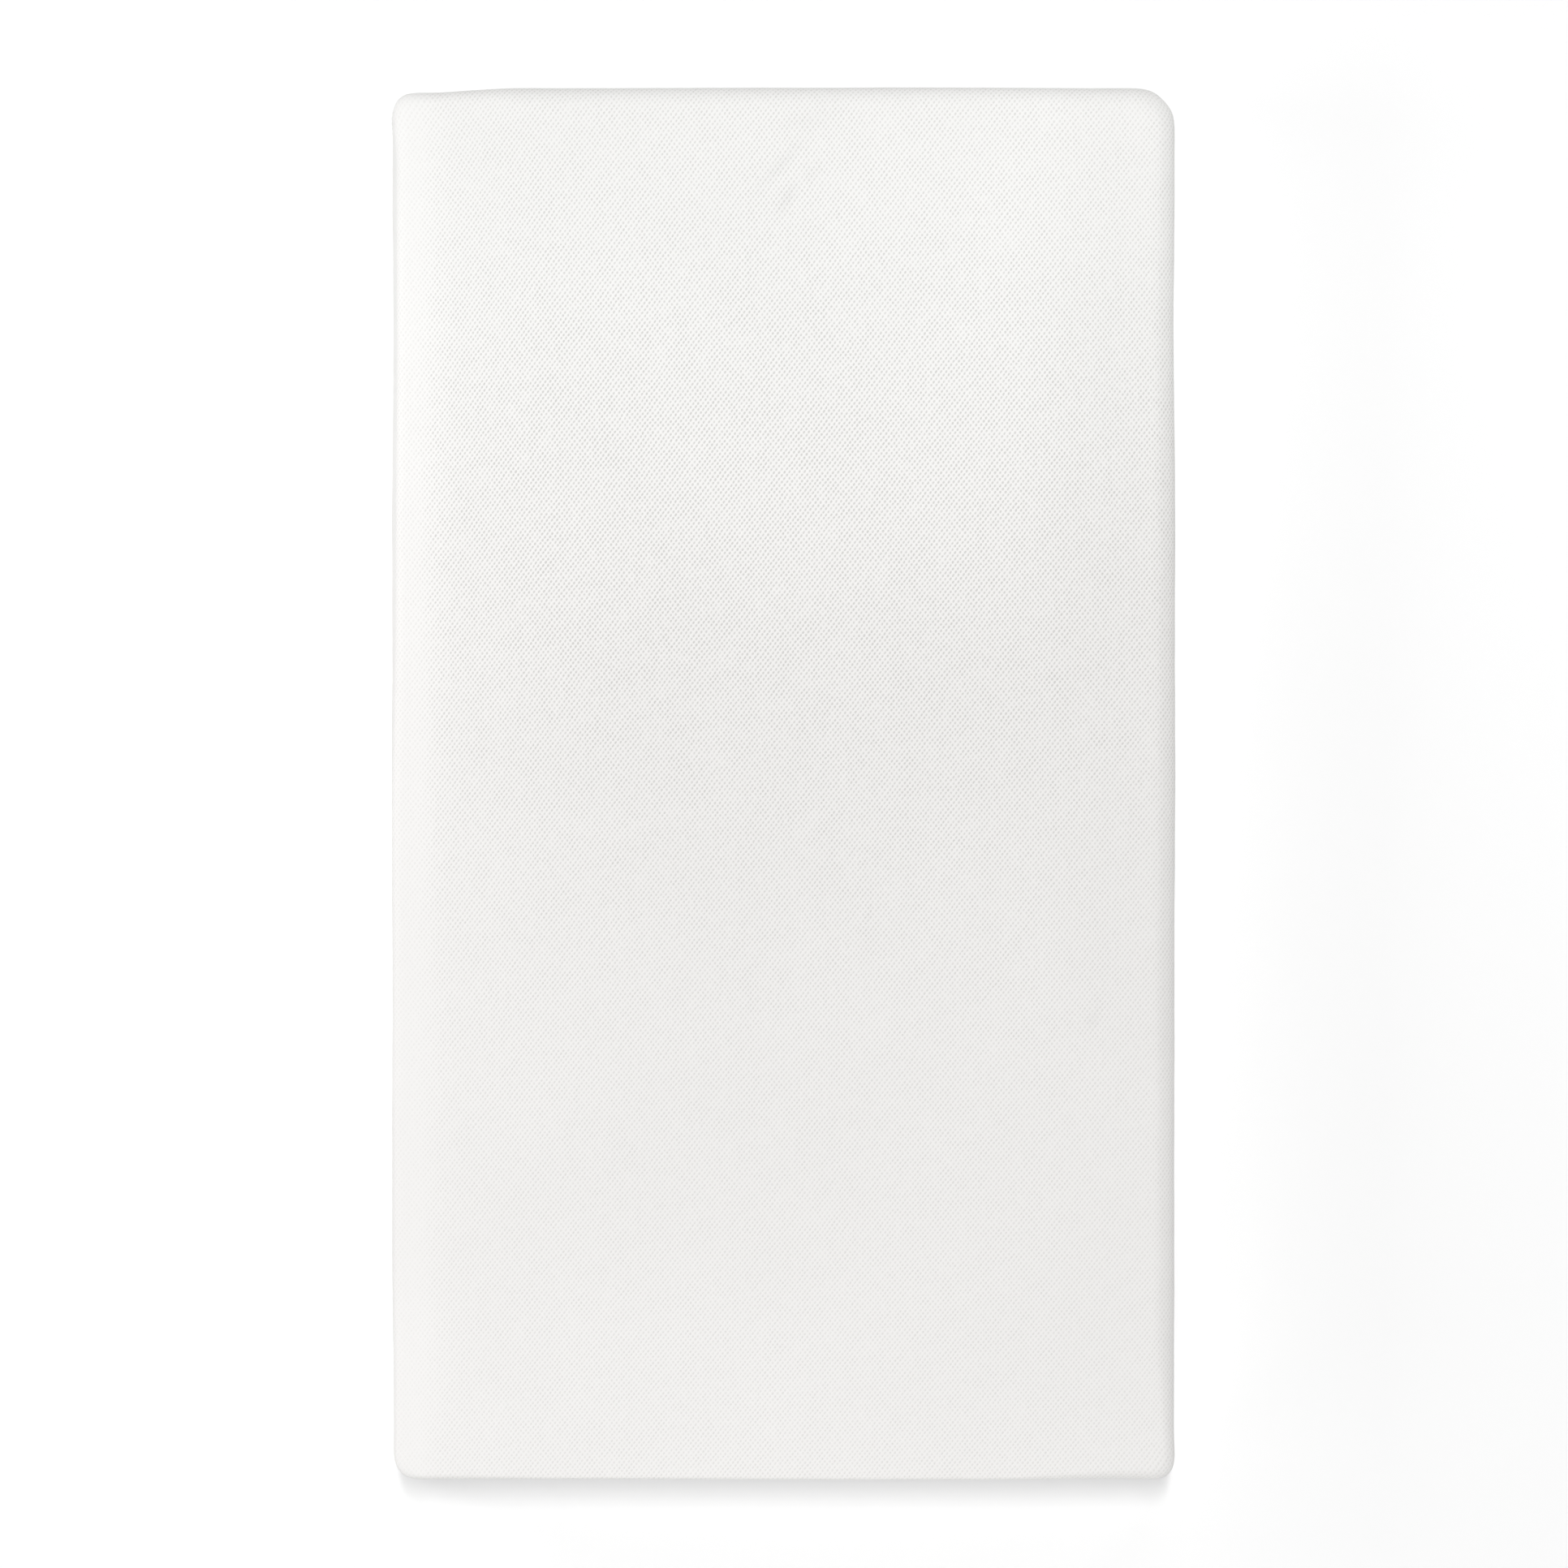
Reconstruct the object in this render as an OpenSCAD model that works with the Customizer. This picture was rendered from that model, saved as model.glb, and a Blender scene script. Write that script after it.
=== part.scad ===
// Memory foam mattress for a cot or toddler bed, with a washable zipped cover.
// Millimetres. X runs across the width, Y towards the head end, Z up.
// The origin is the centre of the bottom face.

/* [Overall size] */
// Width across the side walls
mattress_width = 710; // [560:5:900]
// Length from the foot wall to the head wall
mattress_length = 1260; // [1000:5:1900]
// Height from the bottom face to the sleep face
mattress_height = 130; // [110:1:160]
// Corner radius seen from above
corner_radius = 27; // [25:1:60]
// Radius over the edge of the sleep face
top_edge_radius = 22; // [12:1:24]
// Radius over the edge of the bottom face
bottom_edge_radius = 10; // [7:0.5:12]

/* [Layers] */
// Thickness of the air mesh
mesh_thickness = 4; // [3:0.5:5]
// Thickness of the base fabric
base_fabric_thickness = 2.5; // [1.5:0.25:3]
// Thickness of the inner sock
sock_thickness = 0.8; // [0.6:0.1:1.2]
// Depth of the memory foam layer
memory_foam_depth = 40; // [25:1:50]
// Clearance between nested layers
layer_clearance = 0.2; // [0.1:0.05:0.5]

/* [Seams] */
// Height of the seam between the top panel and the side band
upper_seam_height = 54; // [50:0.5:60]
// Height of the seam between the side band and the base fabric
lower_seam_height = 15; // [14:0.5:18]
// Width of each sewn seam
seam_width = 2; // [1.5:0.25:3]
// How far a seam stands out from the wall
seam_rise = 0.8; // [0.5:0.1:1.2]
// Distance of the upright joints from the side walls
joint_inset = 52; // [35:1:80]
// Width of the sewn end of the sock
sock_seam_width = 3; // [2:0.25:4]
// Height of the sewn end of the sock
sock_seam_rise = 1.2; // [0.8:0.1:1.6]

/* [Zip] */
// Height of the zip's centre line
zip_height = 34.5; // [33:0.5:36]
// Open width between the two strips
strip_opening = 17; // [15:0.5:19]
// Thickness of the woven tapes
tape_thickness = 1; // [0.8:0.1:1.2]
// Width of each tape
tape_width = 13; // [11:0.5:14]
// Length of the bare tape beyond the teeth at each end
tape_end = 23; // [20:1:30]
// Distance from one tooth to the next
tooth_pitch = 3; // [2.5:0.1:4]
// Thickness of the teeth
tooth_thickness = 2.4; // [2:0.1:2.8]
// Width of both rows of teeth together
chain_width = 6; // [5.5:0.1:6.5]
// Gap between the tips of the two rows
tip_gap = 0.9; // [0.8:0.05:1.2]
// Width of the spine that the teeth share
spine_width = 0.9; // [0.7:0.1:1.1]
// Length of an end stop
stop_length = 3; // [2:0.25:4]
// Width of a line of topstitching
stitch_width = 0.8; // [0.6:0.1:1]
// How far the topstitching stands out
stitch_rise = 0.3; // [0.2:0.1:0.5]
// Distance of the topstitching from the edge of its strip
stitch_inset = 2.5; // [2:0.25:3.5]

/* [Slider and pull] */
// Length of the slider body
slider_length = 10.5; // [9:0.25:12]
// Thickness of each slider plate
plate_thickness = 1; // [0.8:0.1:1.2]
// Thickness of the slider's side walls
flange_width = 0.9; // [0.7:0.1:1.1]
// Thickness of the web that joins the two plates
web_thickness = 0.5; // [0.4:0.05:0.55]
// Length of that web
web_length = 2.6; // [2:0.1:3]
// Running clearance between the slider and the chain
slider_clearance = 0.2; // [0.15:0.05:0.3]
// Length of the bail
bail_length = 6; // [5:0.25:7]
// Width of the bail
bail_width = 1.6; // [1.4:0.1:1.8]
// Thickness of the bail's bar and feet
bail_thickness = 1; // [0.8:0.1:1.1]
// Height of the opening under the bail
bail_opening = 1.5; // [1.4:0.1:1.8]
// Length of the pull from its pivot to its tip
pull_length = 24; // [18:0.5:26]
// Width of the pull
pull_width = 6.4; // [5.5:0.1:8]
// Thickness of the pull
pull_thickness = 1.1; // [0.9:0.1:1.2]
// Clearance between the eye of the pull and the bail
eye_clearance = 0.35; // [0.25:0.05:0.5]
// Radius of the hole in the tip of the pull
tip_hole_radius = 1.4; // [1:0.1:1.8]

/* [Care label] */
// Width of the label along the wall
label_width = 32; // [20:1:45]
// Length that hangs below the seam
label_length = 30; // [20:1:34]
// Thickness of the label
label_thickness = 0.4; // [0.3:0.05:0.6]
// Distance of the label from the foot wall
label_inset = 130; // [80:5:300]

/* [Hidden] */
$fn = 64;
// heights of the seam edges
band_top = upper_seam_height - seam_width / 2;
panel_bottom = upper_seam_height + seam_width / 2;
band_bottom = lower_seam_height + seam_width / 2;
base_top = lower_seam_height - seam_width / 2;
// wall planes of the foot end, measured in Y
foot_wall = -mattress_length / 2;
joint_x = mattress_width / 2 - joint_inset;
// depth of the zip parts behind the foot wall
chain_outer = 2.5;
chain_middle = chain_outer + tooth_thickness / 2;
tape_outer = chain_middle - tape_thickness / 2;
tape_inner = chain_middle + tape_thickness / 2;
plate_reach = tooth_thickness / 2 + slider_clearance + plate_thickness;
zip_depth = chain_middle + plate_reach;
// the sock and foam stop short of the foot wall to leave room for the slider
zip_room = zip_depth + layer_clearance - mesh_thickness;
// inner sock
sock_offset = mesh_thickness + layer_clearance;
sock_width = mattress_width - 2 * sock_offset;
sock_length = mattress_length - 2 * sock_offset - zip_room;
sock_shift = zip_room / 2;
sock_bottom = base_fabric_thickness + layer_clearance;
sock_top = mattress_height - sock_offset;
sock_corner = corner_radius - sock_offset;
sock_top_radius = top_edge_radius - sock_offset;
sock_bottom_radius = bottom_edge_radius - mesh_thickness;
// foam block
foam_offset = sock_thickness + layer_clearance;
foam_width = sock_width - 2 * foam_offset;
foam_length = sock_length - 2 * foam_offset - sock_seam_rise;
foam_shift = sock_shift - sock_seam_rise / 2;
foam_bottom = sock_bottom + foam_offset;
foam_top = sock_top - foam_offset;
foam_split = foam_top - memory_foam_depth;
foam_corner = sock_corner - foam_offset;
foam_top_radius = sock_top_radius - foam_offset;
foam_bottom_radius = sock_bottom_radius - foam_offset;
// zip
strip_upper_edge = zip_height + strip_opening / 2;
strip_lower_edge = zip_height - strip_opening / 2;
tape_edge = chain_width / 2;
chain_end = joint_x - tape_end;
tooth_count = floor((2 * chain_end - 2 * stop_length) / tooth_pitch);
chain_length = tooth_count * tooth_pitch;
row_width = (chain_width - tip_gap) / 2;
// slider
slider_width = chain_width + 2 * slider_clearance + 2 * flange_width;
flange_reach = plate_reach - tape_thickness / 2 - slider_clearance;
slider_x = chain_length / 2 - slider_length / 2 - slider_clearance;
plate_face = chain_middle - plate_reach;
pull_y = foot_wall + plate_face - bail_opening / 2;
eye_length = bail_length / 2 + 0.9;
eye_half_width = bail_width / 2 + eye_clearance;

// A profile carried round a rounded rectangle. In the profile, x = 0 is the corner's centre
// and x = r is the outer wall.
module around(w, l, r) {
    for (side = [0, 180]) {
        rotate([0, 0, side])
            translate([w / 2 - r, 0, 0])
                rotate([90, 0, 0])
                    linear_extrude(l - 2 * r, center = true) children();
        rotate([0, 0, side + 90])
            translate([l / 2 - r, 0, 0])
                rotate([90, 0, 0])
                    linear_extrude(w - 2 * r, center = true) children();
        rotate([0, 0, side])
            translate([w / 2 - r, l / 2 - r, 0])
                rotate_extrude(angle = 90) children();
        rotate([0, 0, side])
            translate([w / 2 - r, r - l / 2, 0])
                rotate([0, 0, -90])
                    rotate_extrude(angle = 90) children();
    }
}

// The flat field inside the corner centres.
module field(w, l, r, low, high) {
    translate([r - w / 2, r - l / 2, low])
        cube([w - 2 * r, l - 2 * r, high - low]);
}

// A quarter ring that turns a wall into a flat sheet. sign is 1 over a top edge, -1 under a bottom edge.
module turned_edge(edge_r, thickness, sign) {
    intersection() {
        difference() {
            circle(edge_r);
            circle(edge_r - thickness);
        }
        translate([0, sign > 0 ? 0 : -edge_r]) square(edge_r);
    }
}

// A strip of wall, from one height to another.
module wall(r, thickness, low, high) {
    translate([r - thickness, low]) square([thickness, high - low]);
}

// A sheet that lies flat on top and is turned down at its edge.
module top_sheet(r, edge_r, thickness, low, high) {
    translate([0, high - thickness]) square([r - edge_r, thickness]);
    translate([r - edge_r, high - edge_r]) turned_edge(edge_r, thickness, 1);
    wall(r, thickness, low, high - edge_r);
}

// A sheet that lies flat underneath and is turned up at its edge.
module bottom_sheet(r, edge_r, thickness, low, high) {
    translate([0, low]) square([r - edge_r, thickness]);
    translate([r - edge_r, low + edge_r]) turned_edge(edge_r, thickness, -1);
    wall(r, thickness, low + edge_r, high);
}

// The half outline of a solid slab with one rounded edge.
module slab_profile(r, edge_r, low, high, round_top) {
    centre = round_top ? high - edge_r : low + edge_r;
    translate([0, low]) square([r - edge_r, high - low]);
    if (round_top) translate([0, low]) square([r, high - edge_r - low]);
    if (!round_top) translate([0, low + edge_r]) square([r, high - low - edge_r]);
    translate([r - edge_r, centre]) intersection() {
        circle(edge_r);
        translate([0, round_top ? 0 : -edge_r]) square(edge_r);
    }
}

// A sewn seam: a flat band across the wall with a rounded outer face.
module seam_profile(r, thickness, height) {
    translate([r - thickness, height - seam_width / 2]) square([thickness, seam_width]);
    translate([r - seam_width / 2 + seam_rise, height]) circle(seam_width / 2);
}

module cover_top_panel() {
    color([0.95, 0.95, 0.94]) {
        around(mattress_width, mattress_length, corner_radius)
            top_sheet(corner_radius, top_edge_radius, mesh_thickness, panel_bottom, mattress_height);
        field(mattress_width, mattress_length, corner_radius,
            mattress_height - mesh_thickness, mattress_height);
    }
}

module cover_side_band() {
    color([0.93, 0.93, 0.92])
        difference() {
            around(mattress_width, mattress_length, corner_radius)
                wall(corner_radius, mesh_thickness, band_bottom, band_top);
            translate([-joint_x - seam_width / 2, foot_wall - 1, band_bottom - 1])
                cube([2 * joint_x + seam_width, mesh_thickness + 2, band_top - band_bottom + 2]);
        }
}

// A strip of mesh on the foot wall, in front of the zip tape.
module foot_strip(low, high) {
    translate([-joint_x + seam_width / 2, foot_wall, low])
        cube([2 * joint_x - seam_width, tape_outer, high - low]);
}

module foot_strip_upper() {
    color([0.93, 0.93, 0.92]) foot_strip(strip_upper_edge, band_top);
}

module foot_strip_lower() {
    color([0.93, 0.93, 0.92]) foot_strip(band_bottom, strip_lower_edge);
}

module cover_bottom_panel() {
    color([0.88, 0.88, 0.87]) {
        around(mattress_width, mattress_length, corner_radius)
            bottom_sheet(corner_radius, bottom_edge_radius, base_fabric_thickness, 0, base_top);
        field(mattress_width, mattress_length, corner_radius, 0, base_fabric_thickness);
    }
}

module upper_seam() {
    color([0.97, 0.97, 0.96])
        around(mattress_width, mattress_length, corner_radius)
            seam_profile(corner_radius, mesh_thickness, upper_seam_height);
}

module lower_seam() {
    color([0.97, 0.97, 0.96])
        around(mattress_width, mattress_length, corner_radius)
            seam_profile(corner_radius, mesh_thickness, lower_seam_height);
}

// An upright seam that closes the end of the zip panel.
module band_joint(side) {
    translate([side * joint_x, foot_wall, band_bottom]) {
        translate([-seam_width / 2, 0, 0]) cube([seam_width, tape_inner, band_top - band_bottom]);
        translate([0, seam_width / 2 - seam_rise, 0]) cylinder(d = seam_width, h = band_top - band_bottom);
    }
}

module band_joint_left() {
    color([0.97, 0.97, 0.96]) band_joint(-1);
}

module band_joint_right() {
    color([0.97, 0.97, 0.96]) band_joint(1);
}

module zip_tape(side) {
    low = side > 0 ? tape_edge : -tape_edge - tape_width;
    translate([-joint_x + seam_width / 2, foot_wall + tape_outer, zip_height + low])
        cube([2 * joint_x - seam_width, tape_thickness, tape_width]);
}

module zip_tape_upper() {
    color([0.9, 0.9, 0.9]) zip_tape(1);
}

module zip_tape_lower() {
    color([0.9, 0.9, 0.9]) zip_tape(-1);
}

// One tooth outline, from its narrow neck at the spine to its wider head at the tip.
function tooth_points(start) = [
    [start + 0.32 * tooth_pitch, spine_width],
    [start + 0.32 * tooth_pitch, 0.62 * row_width],
    [start + 0.22 * tooth_pitch, 0.74 * row_width],
    [start + 0.28 * tooth_pitch, row_width],
    [start + 0.72 * tooth_pitch, row_width],
    [start + 0.78 * tooth_pitch, 0.74 * row_width],
    [start + 0.68 * tooth_pitch, 0.62 * row_width],
    [start + 0.68 * tooth_pitch, spine_width]];

// A row of teeth with its spine at y = 0 and its tips at y = row_width.
module tooth_row(shift, count) {
    outline = [for (i = [0 : count - 1], p = tooth_points(i * tooth_pitch + shift)) p];
    polygon(concat([[0, 0], [0, spine_width]], outline, [[chain_length, spine_width], [chain_length, 0]]));
}

module zip_teeth_upper() {
    color([0.92, 0.92, 0.92])
        translate([-chain_length / 2, foot_wall + chain_outer, zip_height + tape_edge])
            rotate([-90, 0, 0])
                linear_extrude(tooth_thickness) tooth_row(0, tooth_count);
}

module zip_teeth_lower() {
    color([0.92, 0.92, 0.92])
        translate([-chain_length / 2, foot_wall + chain_outer + tooth_thickness, zip_height - tape_edge])
            rotate([90, 0, 0])
                linear_extrude(tooth_thickness) tooth_row(tooth_pitch / 2, tooth_count - 1);
}

module zip_top_stops() {
    color([0.85, 0.86, 0.87])
        for (low = [-chain_width / 2, tip_gap / 2])
            translate([chain_length / 2, foot_wall + chain_outer, zip_height + low])
                cube([stop_length, tooth_thickness, row_width]);
}

module zip_bottom_stop() {
    color([0.85, 0.86, 0.87])
        translate([-chain_length / 2 - stop_length, foot_wall + chain_outer, zip_height - chain_width / 2])
            cube([stop_length, tooth_thickness, chain_width]);
}

// Half of the slider body: a plate with side walls, its inner face towards the chain.
module slider_half() {
    translate([-slider_length / 2, -plate_reach, -slider_width / 2])
        cube([slider_length, plate_thickness, slider_width]);
    for (low = [-slider_width / 2, slider_width / 2 - flange_width])
        translate([-slider_length / 2, -plate_reach, low])
            cube([slider_length, flange_reach, flange_width]);
}

module zip_slider() {
    bar_depth = bail_opening + bail_thickness;
    color([0.82, 0.83, 0.85])
        translate([slider_x, foot_wall + chain_middle, zip_height]) {
            slider_half();
            mirror([0, 1, 0]) slider_half();
            translate([slider_length / 2 - web_length - 0.6, -plate_reach, -web_thickness / 2])
                cube([web_length, 2 * plate_reach, web_thickness]);
            translate([-bail_length / 2, -plate_reach - bar_depth, -bail_width / 2])
                difference() {
                    cube([bail_length, bar_depth, bail_width]);
                    translate([bail_thickness, bail_thickness, -1])
                        cube([bail_length - 2 * bail_thickness, bail_opening, bail_width + 2]);
                }
        }
}

module pull_outline() {
    difference() {
        union() {
            translate([-pull_length + pull_width / 2, 0]) circle(d = pull_width);
            translate([-pull_length + pull_width / 2, -pull_width / 2])
                square([pull_length - pull_width / 2, pull_width]);
        }
        translate([-eye_length, -eye_half_width]) square([eye_length, 2 * eye_half_width]);
        translate([-pull_length + pull_width / 2 + 0.6, 0]) circle(tip_hole_radius);
    }
}

module zip_pull_tab() {
    color([0.82, 0.83, 0.85])
        translate([slider_x, pull_y, zip_height]) {
            translate([0, pull_thickness / 2, 0])
                rotate([90, 0, 0])
                    linear_extrude(pull_thickness) pull_outline();
            cylinder(d = pull_thickness, h = pull_width, center = true);
        }
}

module stitching(height) {
    translate([-joint_x + seam_width / 2, foot_wall - stitch_rise, height - stitch_width / 2])
        cube([2 * joint_x - seam_width, stitch_rise, stitch_width]);
}

module upper_zip_stitching() {
    color([0.98, 0.98, 0.98]) stitching(strip_upper_edge + stitch_inset);
}

module lower_zip_stitching() {
    color([0.98, 0.98, 0.98]) stitching(strip_lower_edge - stitch_inset);
}

module inner_sock() {
    color([0.96, 0.96, 0.93])
        translate([0, sock_shift, 0]) {
            around(sock_width, sock_length, sock_corner) {
                sock_profile();
            }
            field(sock_width, sock_length, sock_corner, sock_top - sock_thickness, sock_top);
            field(sock_width, sock_length, sock_corner, sock_bottom, sock_bottom + sock_thickness);
        }
}

module sock_profile() {
    middle = (sock_bottom + sock_top) / 2;
    top_sheet(sock_corner, sock_top_radius, sock_thickness, middle, sock_top);
    bottom_sheet(sock_corner, sock_bottom_radius, sock_thickness, sock_bottom, middle);
}

// The overlocked end of the sock, turned in against the head end of the foam.
module sock_end_seam() {
    seam_y = sock_shift + sock_length / 2 - sock_thickness - sock_seam_rise;
    color([0.9, 0.9, 0.86])
        translate([sock_corner - sock_width / 2, seam_y, foam_split])
            cube([sock_width - 2 * sock_corner, sock_seam_rise, sock_seam_width]);
}

module memory_foam() {
    color([0.97, 0.93, 0.82])
        translate([0, foam_shift, 0]) {
            around(foam_width, foam_length, foam_corner)
                slab_profile(foam_corner, foam_top_radius, foam_split, foam_top, true);
            field(foam_width, foam_length, foam_corner, foam_split, foam_top);
        }
}

module support_foam() {
    color([0.93, 0.93, 0.9])
        translate([0, foam_shift, 0]) {
            around(foam_width, foam_length, foam_corner)
                slab_profile(foam_corner, foam_bottom_radius, foam_bottom, foam_split, false);
            field(foam_width, foam_length, foam_corner, foam_bottom, foam_split);
        }
}

// A blank label that hangs from the upper seam on the right-hand wall.
module care_label() {
    color([0.99, 0.99, 0.99])
        translate([mattress_width / 2, foot_wall + label_inset, band_top - label_length])
            cube([label_thickness, label_width, label_length]);
}

cover_top_panel();
cover_side_band();
foot_strip_upper();
foot_strip_lower();
cover_bottom_panel();
upper_seam();
lower_seam();
band_joint_left();
band_joint_right();
zip_tape_upper();
zip_tape_lower();
zip_teeth_upper();
zip_teeth_lower();
zip_top_stops();
zip_bottom_stop();
zip_slider();
zip_pull_tab();
upper_zip_stitching();
lower_zip_stitching();
inner_sock();
sock_end_seam();
memory_foam();
support_foam();
care_label();
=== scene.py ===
import math

import bmesh
import bpy
import numpy as np
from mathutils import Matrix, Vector
from mathutils.bvhtree import BVHTree


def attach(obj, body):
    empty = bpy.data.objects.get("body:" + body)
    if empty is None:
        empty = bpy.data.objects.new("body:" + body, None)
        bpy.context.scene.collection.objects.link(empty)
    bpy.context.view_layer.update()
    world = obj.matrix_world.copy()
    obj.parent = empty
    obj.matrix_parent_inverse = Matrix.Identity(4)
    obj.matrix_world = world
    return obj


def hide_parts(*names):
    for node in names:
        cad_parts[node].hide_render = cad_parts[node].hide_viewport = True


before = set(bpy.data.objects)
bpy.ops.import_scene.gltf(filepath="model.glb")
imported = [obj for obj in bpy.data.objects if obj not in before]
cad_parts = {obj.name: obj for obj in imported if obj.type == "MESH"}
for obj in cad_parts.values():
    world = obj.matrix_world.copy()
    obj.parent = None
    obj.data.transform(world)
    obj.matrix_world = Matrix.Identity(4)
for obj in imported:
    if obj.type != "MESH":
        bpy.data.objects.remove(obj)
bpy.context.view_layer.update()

# ---------------------------------------------------------------- sizes, in metres, as in the CAD part
W, L, H = 0.710, 1.260, 0.130
R_PLAN = 0.027
WALL = 0.004
UPPER_SEAM, LOWER_SEAM, SEAM = 0.054, 0.015, 0.002
FOOT = -L / 2
JOINT_X = W / 2 - 0.052
ZIP_Z = 0.0345
STRIP_LOW, STRIP_HIGH = 0.026, 0.043
CHAIN_Y = FOOT + 0.0037
CHAIN_LENGTH, PITCH = 0.552, 0.003
SLIDER_X = 0.27055
PULL_Y = FOOT + 0.00055
ZIP_ROOM = 0.0023
EYELETS = (218.3, 174.3)  # in a metre of the mesh, across and along
GAP = 0.0002


# ---------------------------------------------------------------- node helpers
class Graph:
    """Builds a material's node tree from short calls."""

    def __init__(self, name):
        self.material = bpy.data.materials.new(name)
        self.material.use_nodes = True
        self.tree = self.material.node_tree
        self.shader = self.tree.nodes["Principled BSDF"]

    def add(self, kind, **values):
        node = self.tree.nodes.new(kind)
        for key, value in values.items():
            setattr(node, key, value)
        return node

    def put(self, socket, value):
        if isinstance(value, bpy.types.NodeSocket):
            self.tree.links.new(value, socket)
        else:
            socket.default_value = value

    def math(self, op, a, b=None, c=None):
        node = self.add("ShaderNodeMath", operation=op)
        for socket, value in zip(node.inputs, (a, b, c)):
            if value is not None:
                self.put(socket, value)
        return node.outputs[0]

    def mul(self, a, b):
        return self.math("MULTIPLY", a, b)

    def plus(self, a, b):
        return self.math("ADD", a, b)

    def minus(self, a, b):
        return self.math("SUBTRACT", a, b)

    def muladd(self, a, b, c):
        return self.math("MULTIPLY_ADD", a, b, c)

    def bell(self, value):
        """One at zero, falling away smoothly on both sides."""
        return self.math("EXPONENT", self.mul(self.mul(value, value), -1.0))

    def scaled(self, colour, amount):
        node = self.add("ShaderNodeVectorMath", operation="SCALE")
        self.put(node.inputs[0], colour)
        self.put(node.inputs["Scale"], amount)
        return node.outputs[0]

    def ramp(self, value, low, high, to_low=0.0, to_high=1.0, smooth=True):
        node = self.add("ShaderNodeMapRange", interpolation_type="SMOOTHSTEP" if smooth else "LINEAR")
        for socket, v in zip(node.inputs, (value, low, high, to_low, to_high)):
            self.put(socket, v)
        return node.outputs[0]

    def mix(self, factor, a, b):
        node = self.add("ShaderNodeMix", data_type="RGBA")
        for socket, v in ((node.inputs[0], factor), (node.inputs[6], a), (node.inputs[7], b)):
            self.put(socket, v)
        return node.outputs[2]

    def object_point(self):
        return self.add("ShaderNodeTexCoord").outputs["Object"]

    def noise(self, scale, detail=2.0, rough=0.5, vector=None):
        node = self.add("ShaderNodeTexNoise")
        node.inputs["Scale"].default_value = scale
        node.inputs["Detail"].default_value = detail
        node.inputs["Roughness"].default_value = rough
        self.put(node.inputs["Vector"], vector if vector else self.object_point())
        return node.outputs[0]

    def split(self, vector):
        node = self.add("ShaderNodeSeparateXYZ")
        self.put(node.inputs[0], vector)
        return node.outputs[0], node.outputs[1], node.outputs[2]

    def join(self, x, y, z=0.0):
        node = self.add("ShaderNodeCombineXYZ")
        for socket, v in zip(node.inputs, (x, y, z)):
            self.put(socket, v)
        return node.outputs[0]

    def uv(self, name="weave"):
        return self.add("ShaderNodeUVMap", uv_map=name).outputs[0]

    def bump(self, height, distance, strength=1.0, under=None):
        node = self.add("ShaderNodeBump")
        node.inputs["Strength"].default_value = strength
        node.inputs["Distance"].default_value = distance
        self.put(node.inputs["Height"], height)
        if under:
            self.put(node.inputs["Normal"], under)
        return node.outputs[0]

    def finish(self, **sockets):
        for key, value in sockets.items():
            self.put(self.shader.inputs[key.replace("_", " ")], value)
        return self.material


def rgb(value, warm=0.0):
    """A near-white colour: a grey level with a little warmth."""
    return (value, value * (1 - 0.35 * warm), value * (1 - warm), 1)


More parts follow.
